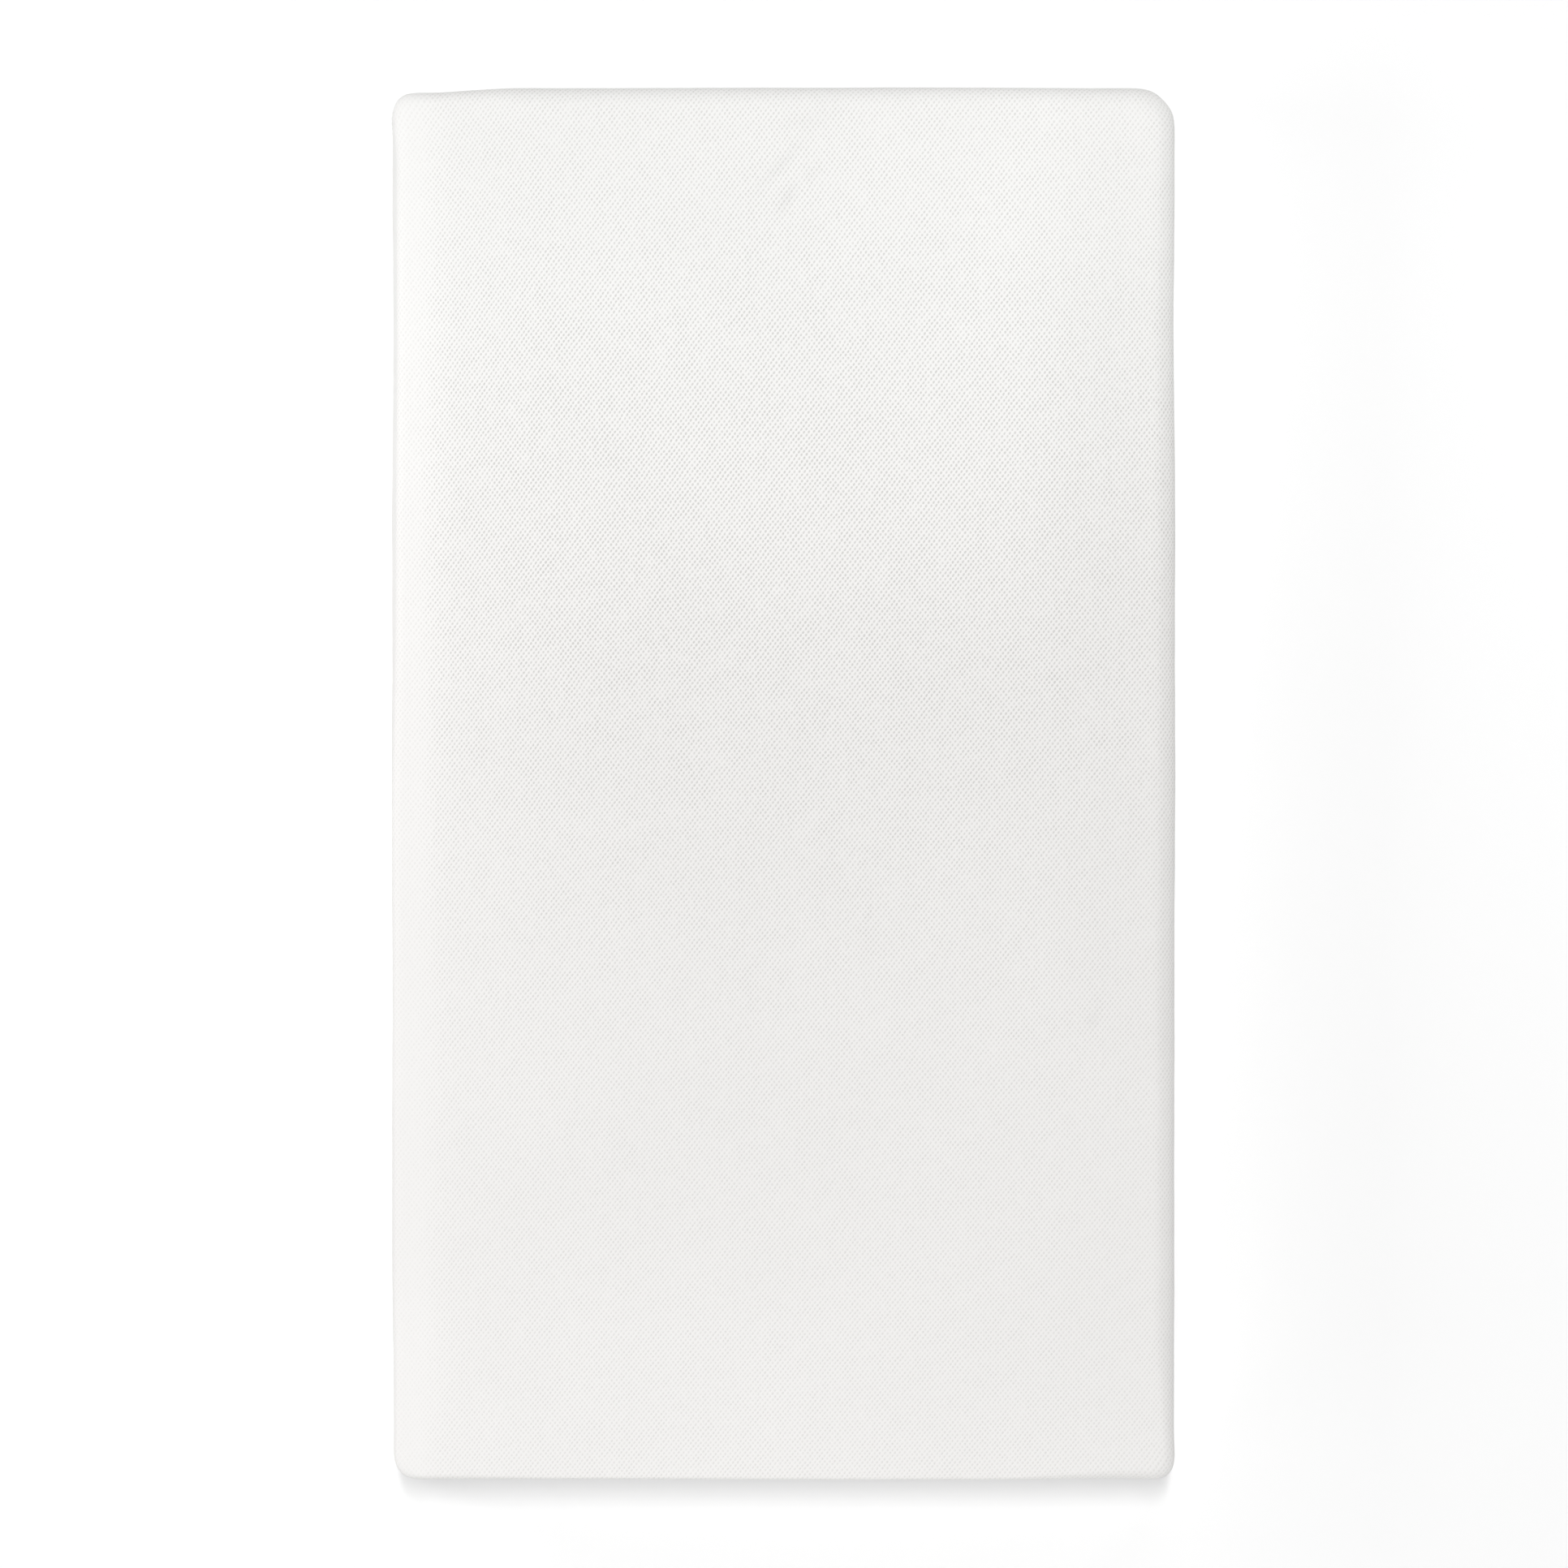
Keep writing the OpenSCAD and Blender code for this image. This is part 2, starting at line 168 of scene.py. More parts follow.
# ---------------------------------------------------------------- materials
def air_mesh(name, level=0.90):
    """Spacer mesh: small oval eyelets in a staggered grid, with yarn between them that runs up to the right; painted
    shade in the eyelets and creases, and painted light and shade across the face.
    """
    g = Graph(name)
    a, b, _ = g.split(g.uv())
    a = g.plus(a, g.muladd(g.noise(55.0, 1.0), 0.36, -0.18))
    b = g.plus(b, g.muladd(g.noise(48.0, 1.0), 0.30, -0.15))

    def away(shift):
        x = g.minus(g.math("FRACT", g.plus(a, shift)), 0.5)
        y = g.minus(g.math("FRACT", g.plus(b, shift)), 0.5)
        across = g.math("DIVIDE", g.minus(x, y), 0.30)
        along = g.math("DIVIDE", g.plus(x, y), 0.42)
        return g.math("SQRT", g.plus(g.mul(across, across), g.mul(along, along)))

    near = g.math("MINIMUM", away(0.0), away(0.5))
    hole = g.ramp(near, 0.3, 1.3, 1.0, 0.0)
    cell = g.add("ShaderNodeTexWhiteNoise", noise_dimensions="2D")
    g.put(cell.inputs["Vector"], g.join(g.math("FLOOR", g.mul(a, 2.0)),
                                        g.math("FLOOR", g.mul(b, 2.0))))
    open_by = g.muladd(cell.outputs[0], 0.6, 0.7)
    patchy = g.ramp(g.noise(60.0, 3.0, 0.7), 0.3, 0.7, 0.82, 1.14, smooth=False)
    x, y, _ = g.split(g.object_point())
    up = g.math("DIVIDE", g.minus(y, 0.27), 0.28)
    down = g.math("DIVIDE", g.minus(0.27, y), 0.38)
    off = g.math("MAXIMUM", up, down)
    stretch = g.muladd(g.bell(off), 0.56, 0.47)
    edge = g.mul(g.ramp(g.math("ABSOLUTE", x), 0.20, 0.35, 1.0, 0.82),
                  g.ramp(x, -0.337, -0.305, 0.40, 1.0))
    depth = g.mul(g.mul(hole, open_by),
                   g.mul(patchy, g.mul(stretch, edge)))
    cord = g.math("COSINE", g.mul(g.minus(a, b), 2 * math.pi))
    strand = g.plus(g.minus(a, b), g.mul(near, 0.25))
    strand = g.math("SINE", g.mul(strand, 12 * math.pi))
    yarn = g.muladd(strand, 0.16, g.noise(1700.0, 2.0, 0.6))
    tone = g.ramp(g.noise(6.0, 3.0, 0.6), 0.3, 0.7, 0.983, 1.001, smooth=False)
    # Painted shade: a soft darker band across the middle of the face, where it sags, weaker at the left.
    sag_shade_offset = g.math("DIVIDE", g.minus(g.muladd(x, 0.15, 0.05), y), 0.17)
    tone = g.muladd(g.mul(g.bell(sag_shade_offset), g.ramp(x, -0.30, -0.08, 0.1, 1.0)), -0.020, tone)

    def soft(value, middle, reach):
        return g.bell(g.math("DIVIDE", g.minus(value, middle), reach))

    # A soft straight line of painted shade along a crease.
    def crease_shade(cx, cy, angle, length, width, amount):
        c, s = math.cos(angle), math.sin(angle)
        u = g.muladd(x, c, g.mul(y, s))
        v = g.muladd(x, -s, g.mul(y, c))
        line = g.mul(soft(u, cx * c + cy * s, length), soft(v, cy * c - cx * s, width))
        return g.mul(line, amount)

    # Painted light and shade by position: lighter towards the head and the foot, darker along the right-hand side.
    head_light = g.mul(soft(y, 0.33, 0.20), g.ramp(x, 0.20, 0.30, 1.0, 0.0))
    right_shade = g.mul(g.ramp(x, 0.20, 0.30, 0.0, 1.0), g.ramp(y, -0.30, -0.12, 0.2, 1.0))
    foot_light = g.mul(g.ramp(y, -0.52, -0.38, 1.0, 0.0), g.ramp(x, -0.10, 0.16, 1.0, 0.0))
    for part, amount in ((head_light, 0.019), (right_shade, -0.024), (foot_light, 0.017)):
        tone = g.muladd(part, amount, tone)
    # Painted shade: a faint darker band across the face below the middle.
    tone = g.muladd(soft(y, -0.17, 0.18), -0.006, tone)
    # painted shade in five creases: centre x, centre y, angle, length, width and change in tone of each
    for line in ((-0.001, 0.560, 0.82, 0.026, 0.0055, -0.042), (0.005, 0.528, 1.02, 0.016, 0.0055, -0.038),
                 (0.028, 0.552, 0.80, 0.010, 0.0060, -0.024), (0.026, 0.602, 0.30, 0.030, 0.0120, -0.020),
                 (0.283, -0.214, 1.20, 0.009, 0.0060, -0.030)):
        tone = g.plus(tone, crease_shade(*line))
    bright = g.mul(tone, g.muladd(yarn, 0.06, 0.97))
    # The eyelets' darker, warmer colour is painted shade inside the holes; the same depth also drives their bump.
    base = g.mix(depth, rgb(level, 0.030), rgb(level * 0.74, 0.045))
    shade = g.add("ShaderNodeVectorMath", operation="MULTIPLY")
    g.put(shade.inputs[0], base)
    # A painted tint of the light: the colour turns slightly greener and bluer towards the head.
    g.put(shade.inputs[1], g.join(bright, g.mul(bright, g.ramp(y, 0.10, 0.50, 0.998, 1.006)),
                                  g.mul(bright, g.ramp(y, 0.10, 0.50, 1.003, 1.0105))))
    height = g.plus(g.mul(depth, -1.0), g.mul(cord, -0.12))
    height = g.plus(height, g.mul(yarn, 0.10))
    rough = g.ramp(near, 0.3, 1.6, 0.98, 0.82)
    return g.finish(Base_Color=shade.outputs[0], Roughness=rough, Normal=g.bump(height, 0.0005, 0.5),
                    Sheen_Weight=0.08, Sheen_Roughness=0.6, Specular_IOR_Level=0.25)


def knit(name, level, warm, pitch, depth=0.0003, tone_scale=8.0):
    """A plain weft knit: rows of small V-shaped loops, by position on the cloth in metres."""
    g = Graph(name)
    a, b, _ = g.split(g.uv())
    a, b = g.math("DIVIDE", a, pitch), g.math("DIVIDE", b, pitch * 0.8)
    leg = g.math("ABSOLUTE", g.minus(g.math("FRACT", a), 0.5))
    row = g.math("FRACT", g.plus(b, g.mul(leg, 1.2)))
    loop = g.math("SINE", g.mul(row, math.pi))
    loop = g.mul(loop, g.math("SINE", g.mul(leg, 2 * math.pi)))
    loop = g.math("ABSOLUTE", loop)
    fluff = g.noise(2200.0, 2.0, 0.6)
    tone = g.ramp(g.noise(tone_scale, 4.0, 0.6), 0.3, 0.7, 0.93, 1.03, smooth=False)
    colour = g.mix(g.ramp(loop, 0.0, 0.8), rgb(level * 0.72, warm * 1.4), rgb(level, warm))
    shade = g.scaled(colour, g.mul(tone, g.muladd(fluff, 0.12, 0.94)))
    height = g.plus(loop, g.mul(fluff, 0.25))
    rough = g.ramp(fluff, 0.3, 0.7, 0.82, 0.97)
    return g.finish(Base_Color=shade, Roughness=rough, Normal=g.bump(height, depth, 0.6),
                    Sheen_Weight=0.15, Specular_IOR_Level=0.25)


def woven(name, level, warm, pitch, depth=0.0002):
    """A narrow woven tape: ribs across it, by position in metres."""
    g = Graph(name)
    a, b, _ = g.split(g.uv())
    warp = g.math("SINE", g.mul(a, 2 * math.pi / pitch))
    weft = g.muladd(b, 2 * math.pi / (1.6 * pitch), g.mul(a, math.pi / pitch))
    weft = g.math("SINE", weft)
    weave = g.muladd(g.mul(warp, weft), 0.5, 0.5)
    fluff = g.noise(2600.0, 2.0, 0.6)
    colour = g.mix(weave, rgb(level * 0.78, warm * 1.3), rgb(level, warm))
    shade = g.scaled(colour, g.muladd(g.noise(30.0, 3.0), 0.10, 0.95))
    height = g.plus(weave, g.mul(fluff, 0.3))
    return g.finish(Base_Color=shade, Roughness=g.ramp(fluff, 0.3, 0.7, 0.72, 0.92),
                    Normal=g.bump(height, depth, 0.6), Sheen_Weight=0.1, Specular_IOR_Level=0.3)


def thread(name, level, warm):
    """Twisted sewing thread."""
    g = Graph(name)
    x, y, z = g.split(g.object_point())
    along = g.plus(g.plus(x, y), g.mul(z, 1.7))
    twist = g.muladd(g.math("SINE", g.mul(along, 9000.0)), 0.5, 0.5)
    fluff = g.noise(3000.0, 2.0, 0.6)
    colour = g.mix(twist, rgb(level * 0.84, warm), rgb(level, warm))
    height = g.plus(twist, g.mul(fluff, 0.5))
    return g.finish(Base_Color=colour, Roughness=g.ramp(fluff, 0.3, 0.7, 0.55, 0.8),
                    Normal=g.bump(height, 0.0001, 0.5), Sheen_Weight=0.1)


def foam(name, colour, deep, cell):
    """Cut open-cell foam: fine pores of mixed size, with a faint tone change."""
    g = Graph(name)
    pores = g.add("ShaderNodeTexVoronoi", feature="F1")
    pores.inputs["Scale"].default_value = cell
    g.put(pores.inputs["Vector"], g.object_point())
    fine = g.add("ShaderNodeTexVoronoi", feature="F1")
    fine.inputs["Scale"].default_value = cell * 2.3
    g.put(fine.inputs["Vector"], g.object_point())
    pore = g.ramp(pores.outputs["Distance"], 0.05, 0.5)
    tiny = g.ramp(fine.outputs["Distance"], 0.05, 0.45)
    both = g.mul(pore, g.muladd(tiny, 0.5, 0.5))
    tone = g.ramp(g.noise(9.0, 4.0, 0.6), 0.3, 0.7, 0.0, 0.35, smooth=False)
    base = g.mix(both, deep, colour)
    base = g.mix(tone, base, tuple(c * 0.9 for c in colour[:3]) + (1,))
    return g.finish(Base_Color=base, Roughness=g.ramp(both, 0.0, 1.0, 0.98, 0.86),
                    Normal=g.bump(both, 0.0005, 0.5), Specular_IOR_Level=0.2)


def moulded(name, level, warm):
    """Moulded acetal with faint flow marks and scuffs."""
    g = Graph(name)
    scuff = g.noise(700.0, 4.0, 0.65)
    colour = g.mix(g.ramp(scuff, 0.35, 0.7), rgb(level, warm), rgb(level * 0.93, warm * 1.5))
    return g.finish(Base_Color=colour, Roughness=g.ramp(scuff, 0.3, 0.7, 0.30, 0.48),
                    Normal=g.bump(g.noise(1500.0, 2.0), 0.00005, 0.3), Coat_Weight=0.1)


def cast_metal(name):
    """Die-cast zinc with a white-grey satin paint, worn a little on its high spots."""
    g = Graph(name)
    point = g.add("ShaderNodeNewGeometry")
    scratch = g.mul(g.noise(900.0, 4.0, 0.7), 0.08)
    worn = g.ramp(g.plus(point.outputs["Pointiness"], scratch), 0.56, 0.62)
    grain = g.noise(1600.0, 3.0, 0.6)
    paint = g.mix(g.ramp(grain, 0.3, 0.7), rgb(0.74, 0.01), rgb(0.79, 0.0))
    colour = g.mix(g.mul(worn, 0.6), paint, (0.52, 0.52, 0.53, 1))
    return g.finish(Base_Color=colour, Metallic=g.mul(worn, 0.7),
                    Roughness=g.ramp(grain, 0.25, 0.75, 0.26, 0.42), Normal=g.bump(grain, 0.00004, 0.4))


def satin(name):
    """Smooth label ribbon with a fine cross rib and no printing."""
    g = Graph(name)
    _, b, _ = g.split(g.uv())
    rib = g.muladd(g.math("SINE", g.mul(b, 2 * math.pi / 0.0006)), 0.5, 0.5)
    tone = g.noise(60.0, 3.0)
    colour = g.mix(g.ramp(tone, 0.3, 0.7), rgb(0.86, 0.0), rgb(0.90, 0.01))
    return g.finish(Base_Color=colour, Roughness=g.ramp(rib, 0.0, 1.0, 0.38, 0.5),
                    Normal=g.bump(rib, 0.00005, 0.4), Sheen_Weight=0.2)


MAT = {
    "mesh": air_mesh("air_mesh"),
    "base": knit("base_fabric", 0.80, 0.02, 0.0016),
    "thread": thread("seam_thread", 0.88, 0.015),
    "tape": woven("zip_tape", 0.80, 0.02, 0.0009),
    "teeth": moulded("zip_teeth", 0.82, 0.015),
    "metal": cast_metal("zip_metal"),
    "sock": knit("sock_knit", 0.84, 0.05, 0.0013, 0.0002),
    "memory": foam("memory_foam", (0.86, 0.79, 0.62, 1), (0.62, 0.54, 0.38, 1), 1100.0),
    "support": foam("support_foam", (0.82, 0.82, 0.79, 1), (0.55, 0.55, 0.52, 1), 750.0),
    "label": satin("label_satin"),
}


# ---------------------------------------------------------------- mesh helpers
def smoothstep(x, low, high):
    t = np.clip((np.asarray(x, float) - low) / (high - low), 0, 1)
    return t * t * (3 - 2 * t)


def make(name, verts, faces, mat, smooth=True):
    mesh = bpy.data.meshes.new(name)
    mesh.from_pydata([tuple(v) for v in np.asarray(verts, float)], [], [tuple(int(i) for i in f) for f in faces])
    mesh.update()
    if smooth:
        mesh.polygons.foreach_set("use_smooth", [True] * len(mesh.polygons))
    obj = bpy.data.objects.new(name, mesh)
    bpy.context.scene.collection.objects.link(obj)
    obj.data.materials.append(MAT[mat])
    return obj


def set_uv(obj, name, values):
    layer = obj.data.uv_layers.new(name=name)
    layer.data.foreach_set("uv", np.asarray(values, float).ravel())


def coords(obj):
    out = np.empty(len(obj.data.vertices) * 3)
    obj.data.vertices.foreach_get("co", out)
    return out.reshape(-1, 3)


def set_coords(obj, points):
    obj.data.vertices.foreach_set("co", np.asarray(points, float).ravel())
    obj.data.update()


def apply_all(obj):
    """Bakes the object's modifiers into its mesh."""
    dg = bpy.context.evaluated_depsgraph_get()
    mesh = bpy.data.meshes.new_from_object(obj.evaluated_get(dg), preserve_all_data_layers=True, depsgraph=dg)
    obj.modifiers.clear()
    obj.data = mesh
    return obj


def modifier(obj, kind, **values):
    m = obj.modifiers.new(kind, kind)
    for key, value in values.items():
        setattr(m, key, value)
    return m


def settle(obj, nodes, body="mattress"):
    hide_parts(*nodes)
    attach(obj, body)
    return obj


def ripple(points, scale, seed):
    """Smooth made-up unevenness from a few crossed waves, about -1 to 1."""
    r = np.random.default_rng(seed)
    total = np.zeros(len(points))
    for _ in range(7):
        direction = r.normal(size=3)
        direction /= np.linalg.norm(direction)
        k = 2 * math.pi / scale * r.uniform(0.6, 1.5)
        total += np.sin(points @ direction * k + r.uniform(0, 6.28))
    return total / 4.0


# ---------------------------------------------------------------- the cover's own shape
def warp(points):
    """Moves ideal points to where the real cover sits: uneven corners, a slack left wall and a dipped head edge."""
    p = np.array(points, float)
    x, y, z = p[:, 0].copy(), p[:, 1].copy(), p[:, 2].copy()
    reach = R_PLAN * (1 - 1 / math.sqrt(2))
    for sx, sy, pull in ((1, 1, -0.0032), (-1, 1, 0.0052), (-1, -1, 0.0030), (1, -1, 0.0054)):
        tx, ty = sx * (W / 2 - reach), sy * (L / 2 - reach)
        near = np.exp(-((x - tx) ** 2 + (y - ty) ** 2) / (2 * 0.0125 ** 2))
        p[:, 0] += sx * pull * near / math.sqrt(2)
        p[:, 1] += sy * pull * near / math.sqrt(2)
    top = smoothstep(z, 0.070, 0.122)
    left = smoothstep(-x, 0.20, 0.352)
    upper = smoothstep(y, -0.12, 0.22) * (1 - 0.5 * smoothstep(y, 0.56, 0.60))
    p[:, 0] += 0.0045 * top * left * (0.2 + 0.8 * upper)
    p[:, 1] -= 0.0055 * smoothstep(-x, 0.235, 0.345) * smoothstep(y, 0.40, 0.62)
    narrow = np.where(x < 0, 0.0026, 0.0017) * smoothstep(-y, 0.42, 0.58)
    p[:, 0] -= narrow * smoothstep(np.abs(x), 0.315, 0.350) * np.sign(x)
    clear = 1 - (1 - smoothstep(z, 0.056, 0.075)) * (1 - smoothstep(y, FOOT + 0.02, FOOT + 0.10))
    along_side = 0.0005 * np.sin(y * 9.0 + 0.8) + 0.0003 * np.sin(y * 23.0 + 2.1)
    p[:, 0] += clear * along_side * smoothstep(np.abs(x), 0.24, 0.35) * np.sign(x)
    p[:, 1] += clear * 0.0003 * np.sin(x * 11.0 + 0.4) * smoothstep(np.abs(y), 0.50, 0.62) * np.sign(y)
    return p


def grid_lines(half, fine, coarse):
    steps, at = [0.0], fine
    while steps[-1] < half:
        steps.append(steps[-1] + at)
        at = min(coarse, at * 1.22)
    steps = np.array(steps) * half / steps[-1]
    return np.concatenate([steps - half, (half - steps)[::-1][1:]])


SIDES = [((0, 1), (1, 0)), ((-1, 0), (0, 1)), ((0, -1), (-1, 0)), ((1, 0), (0, -1))]  # each side's tangent and normal


class Rim:
    """The way from a plain rectangle of grid points out to the rounded outline of the walls."""

    def __init__(self, w, l, r, zone, fine, coarse, corner=0.055, shift=0.0):
        self.w, self.l, self.r, self.zone, self.corner, self.shift = w, l, r, zone, corner, shift
        self.xs = grid_lines(w / 2 - zone, fine, coarse)
        self.ys = grid_lines(l / 2 - zone, fine, coarse)

    def lines(self, k):
        if k in (0, 2):
            return self.ys
        return self.xs

    def at(self, k, q):
        """At q on side k: inner and outer point, normal, tangent coordinate, corner angle, unrolled coordinate."""
        (tx, ty), (nx, ny) = SIDES[k]
        along_y = k in (0, 2)
        h_out, a_out = (self.l / 2, self.w / 2) if along_y else (self.w / 2, self.l / 2)
        h_in, a_in = h_out - self.zone, a_out - self.zone
        c = h_in - abs(q)
        s = 1 if q >= 0 else -1
        if c >= self.corner:
            t, n, phi, flat = q, a_out, 0.0, q
        else:
            straight = self.zone + self.corner - self.r
            u = (math.pi / 4 * self.r + straight) * (1 - c / self.corner)
            if u <= straight:
                t, n, phi = s * (h_in - self.corner + u), a_out, 0.0
                flat = t
            else:
                phi = (u - straight) / self.r
                t = s * (h_out - self.r + self.r * math.sin(phi))
                n = a_out - self.r * (1 - math.cos(phi))
                flat = s * (h_out - self.r + self.r * phi)
                phi *= s
        inner = np.array([tx * q + nx * a_in, ty * q + ny * a_in + self.shift])
        outer = np.array([tx * t + nx * n, ty * t + ny * n + self.shift])
        cos, sin = math.cos(phi), math.sin(phi)
        normal = np.array([nx * cos + tx * sin, ny * cos + ty * sin])
        return inner, outer, normal, flat, a_out

    def q_at(self, k, t):
        """The q on side k whose outer point is a distance t along that side's straight part."""
        h_in = (self.l if k in (0, 2) else self.w) / 2 - self.zone
        u = abs(t) - (h_in - self.corner)
        if u <= 0:
            return t
        whole = math.pi / 4 * self.r + self.zone + self.corner - self.r
        return math.copysign(h_in - self.corner * (1 - u / whole), t)

    def loop(self):
        """Every (side, q) once round, with each corner belonging to the side it starts."""
        out = []
        for k in range(4):
            qs = self.lines(k)
            out += [(k, q) for q in qs[:-1]]
        return out


def cells(x, y):
    """Eyelet counts across and along the cloth from a place on it, with the skew it was sewn with."""
    a = EYELETS[0] * x + 3.5 * y - 5.9 * x * x - 6.8 * x * y + 3.2 * y * y
    b = -10.0 * x + EYELETS[1] * y + 4.1 * x * x - 2.9 * x * y - 6.0 * y * y
    return a, b


def shell(name, rim, edge, top, wall_end, flat_rings, arc_rings, wall_rings, mat, weave, flip=False):
    """A sheet that is flat inside and turned over its rim on to the walls; edge(x, y) is the radius over the edge."""
    nx, ny = len(rim.xs) - 1, len(rim.ys) - 1
    sign = -1 if flip else 1
    verts = [(x, y + rim.shift, top) for y in rim.ys for x in rim.xs]
    flat = [(x, y + rim.shift) for y in rim.ys for x in rim.xs]
    faces, owners = [], []

    def inside(i, j):
        return j * (nx + 1) + i

    for j in range(ny):
        for i in range(nx):
            faces.append((inside(i, j), inside(i + 1, j), inside(i + 1, j + 1), inside(i, j + 1)))
            owners.append(None)
    start = [inside(nx, j) for j in range(ny)] + [inside(i, ny) for i in range(nx, 0, -1)]
    start += [inside(0, j) for j in range(ny, 0, -1)] + [inside(i, 0) for i in range(nx)]
    loop = rim.loop()
    count = len(loop)

    def station(k, q):
        inner, outer, normal, unrolled, a_out = rim.at(k, q)
        radius = edge(outer[0], outer[1])
        rows = []
        for f in np.linspace(0, 1, flat_rings + 1)[1:]:
            rows.append((rim.zone - (rim.zone - radius) * f, top, None))
        for theta in np.linspace(0, math.pi / 2, arc_rings + 1)[1:]:
            rows.append((radius * (1 - math.sin(theta)), top - sign * radius * (1 - math.cos(theta)), radius * theta))
        low = top - sign * radius
        for f in np.linspace(0, 1, wall_rings + 1)[1:]:
            rows.append((0.0, low + (wall_end - low) * f, radius * math.pi / 2 + abs(wall_end - low) * f))
        out = []
        way = (inner - outer) / rim.zone
        (tx, ty), (nx_, ny_) = SIDES[k]
        for inset, z, past in rows:
            place = outer + way * inset
            if past is None:
                cloth = spread = place
            else:
                foot = outer + way * radius
                radial = -way / np.linalg.norm(way)
                spread = foot + radial * past
                n = a_out - radius + past
                sewn = np.array([tx * unrolled + nx_ * n, ty * unrolled + ny_ * n + rim.shift])
                mixed = float(smoothstep(past, 0.5 * radius, 2.2 * radius))
                cloth = spread * (1 - mixed) + sewn * mixed
            out.append((place, z, cloth, spread))
        return out

    stations = {}
    for k in range(4):
        for q in rim.lines(k):
            stations[k, q] = station(k, q)
    rings = len(stations[loop[0]])
    first = len(verts)
    for r in range(rings):
        for key in loop:
            place, z, _, _ = stations[key][r]
            verts.append((place[0], place[1], z))
    cloth_uv, spread_uv = [], []
    for f in faces:
        for v in f:
            cloth_uv.append(flat[v])
            spread_uv.append(flat[v])
    for r in range(rings):
        for i in range(count):
            j = (i + 1) % count
            k, q = loop[i]
            qs = rim.lines(k)
            follow = (k, qs[int(np.searchsorted(qs, q)) + 1])
            if r == 0:
                f = (start[i], first + i, first + j, start[j])
            else:
                above, here = first + (r - 1) * count, first + r * count
                f = (above + i, here + i, here + j, above + j)
            faces.append(f)
            for key, row in (((k, q), r - 1), ((k, q), r), (follow, r), (follow, r - 1)):
                if row < 0:
                    inner = rim.at(*key)[0]
                    cloth_uv.append(tuple(inner))
                    spread_uv.append(tuple(inner))
                else:
                    cloth_uv.append(tuple(stations[key][row][2]))
                    spread_uv.append(tuple(stations[key][row][3]))
    cloth_uv, spread_uv = np.array(cloth_uv), np.array(spread_uv)
    obj = make(name, verts, faces, mat)
    low, high = spread_uv.min(0), spread_uv.max(0)
    set_uv(obj, "OFBake", 0.004 + 0.992 * (spread_uv - low) / (high - low))
    set_uv(obj, "weave", np.stack(weave(cloth_uv[:, 0], cloth_uv[:, 1]), 1))
    if flip:
        obj.data.flip_normals()
    last = [first + (rings - 1) * count + i for i in range(count)]
    return obj, last


def metres(x, y):
    return x, y


def path(rim, ks=(0, 1, 2, 3), span=None, step=0.006):
    """Points round the wall, in order: place, outward normal, and distance run."""
    places, normals = [], []
    for k in ks:
        h_in = (rim.l if k in (0, 2) else rim.w) / 2 - rim.zone
        middle = np.arange(-(h_in - rim.corner), h_in - rim.corner, step)
        end = np.linspace(h_in - rim.corner, h_in, 25)
        qs = np.concatenate([-end[::-1], middle[1:], end])
        if span and k in span:
            qs = qs[(qs > span[k][0]) & (qs < span[k][1])]
            qs = np.unique(np.concatenate([qs, [v for v in span[k] if abs(v) < h_in]]))
        for q in qs if (k == ks[-1] and span) else qs[:-1]:
            _, outer, normal, _, _ = rim.at(k, q)
            places.append(outer)
            normals.append(normal)
    places, normals = np.array(places), np.array(normals)
    run = np.concatenate([[0], np.cumsum(np.linalg.norm(np.diff(places, axis=0), axis=1))])
    return places, normals, run


def sweep(name, places, normals, run, profile, mat, closed=True, warped=True, scale=(1.0, 1.0), caps=False, rows=None):
    """Carries a closed profile of (distance outward, height) along the wall; scale turns metres into weave units."""
    profile = np.array(profile, float)
    n, m = len(places), len(profile)
    verts = np.empty((n, m, 3))
    verts[:, :, 0] = places[:, None, 0] + normals[:, None, 0] * profile[None, :, 0]
    verts[:, :, 1] = places[:, None, 1] + normals[:, None, 1] * profile[None, :, 0]
    verts[:, :, 2] = profile[None, :, 1]
    steps = np.diff(np.vstack([profile, profile[:1]]), axis=0)
    girth = np.concatenate([[0], np.cumsum(np.linalg.norm(steps, axis=1))])
    around_run = np.concatenate([run, [run[-1] + np.linalg.norm(places[0] - places[-1])]])
    faces, uv, bake = [], [], []
    rows = rows or max(1, round(math.sqrt(around_run[-1] / girth[-1])))
    last = n if closed else n - 1
    for i in range(last):
        j = (i + 1) % n
        row = min(rows - 1, int(around_run[i] * rows / around_run[-1]))
        for a in range(m):
            b = (a + 1) % m
            faces.append((i * m + a, j * m + a, j * m + b, i * m + b))
            for r, g_ in ((i, a), (i + 1, a), (i + 1, a + 1), (i, a + 1)):
                uv.append((around_run[r] * scale[0], girth[g_] * scale[1]))
                u = around_run[r] * rows / around_run[-1] - row
                bake.append((0.02 + 0.94 * u, (row + 0.04 + 0.92 * girth[g_] / girth[-1]) / rows))
    if caps and not closed:
        for i, order in ((0, 1), (n - 1, -1)):
            f = [i * m + a for a in range(m)][::order]
            faces.append(tuple(f))
            uv += [(run[i] * scale[0], girth[v - i * m] * scale[1]) for v in f]
            bake += [(0.01, 0.01)] * m
    points = verts.reshape(-1, 3)
    obj = make(name, warp(points) if warped else points, faces, mat)
    set_uv(obj, "OFBake", np.clip(bake, 0, 1))
    set_uv(obj, "weave", uv)
    return obj


def turn(count):
    """Angles of that many points round a circle."""
    return np.linspace(0, 2 * math.pi, count + 1)[:-1]


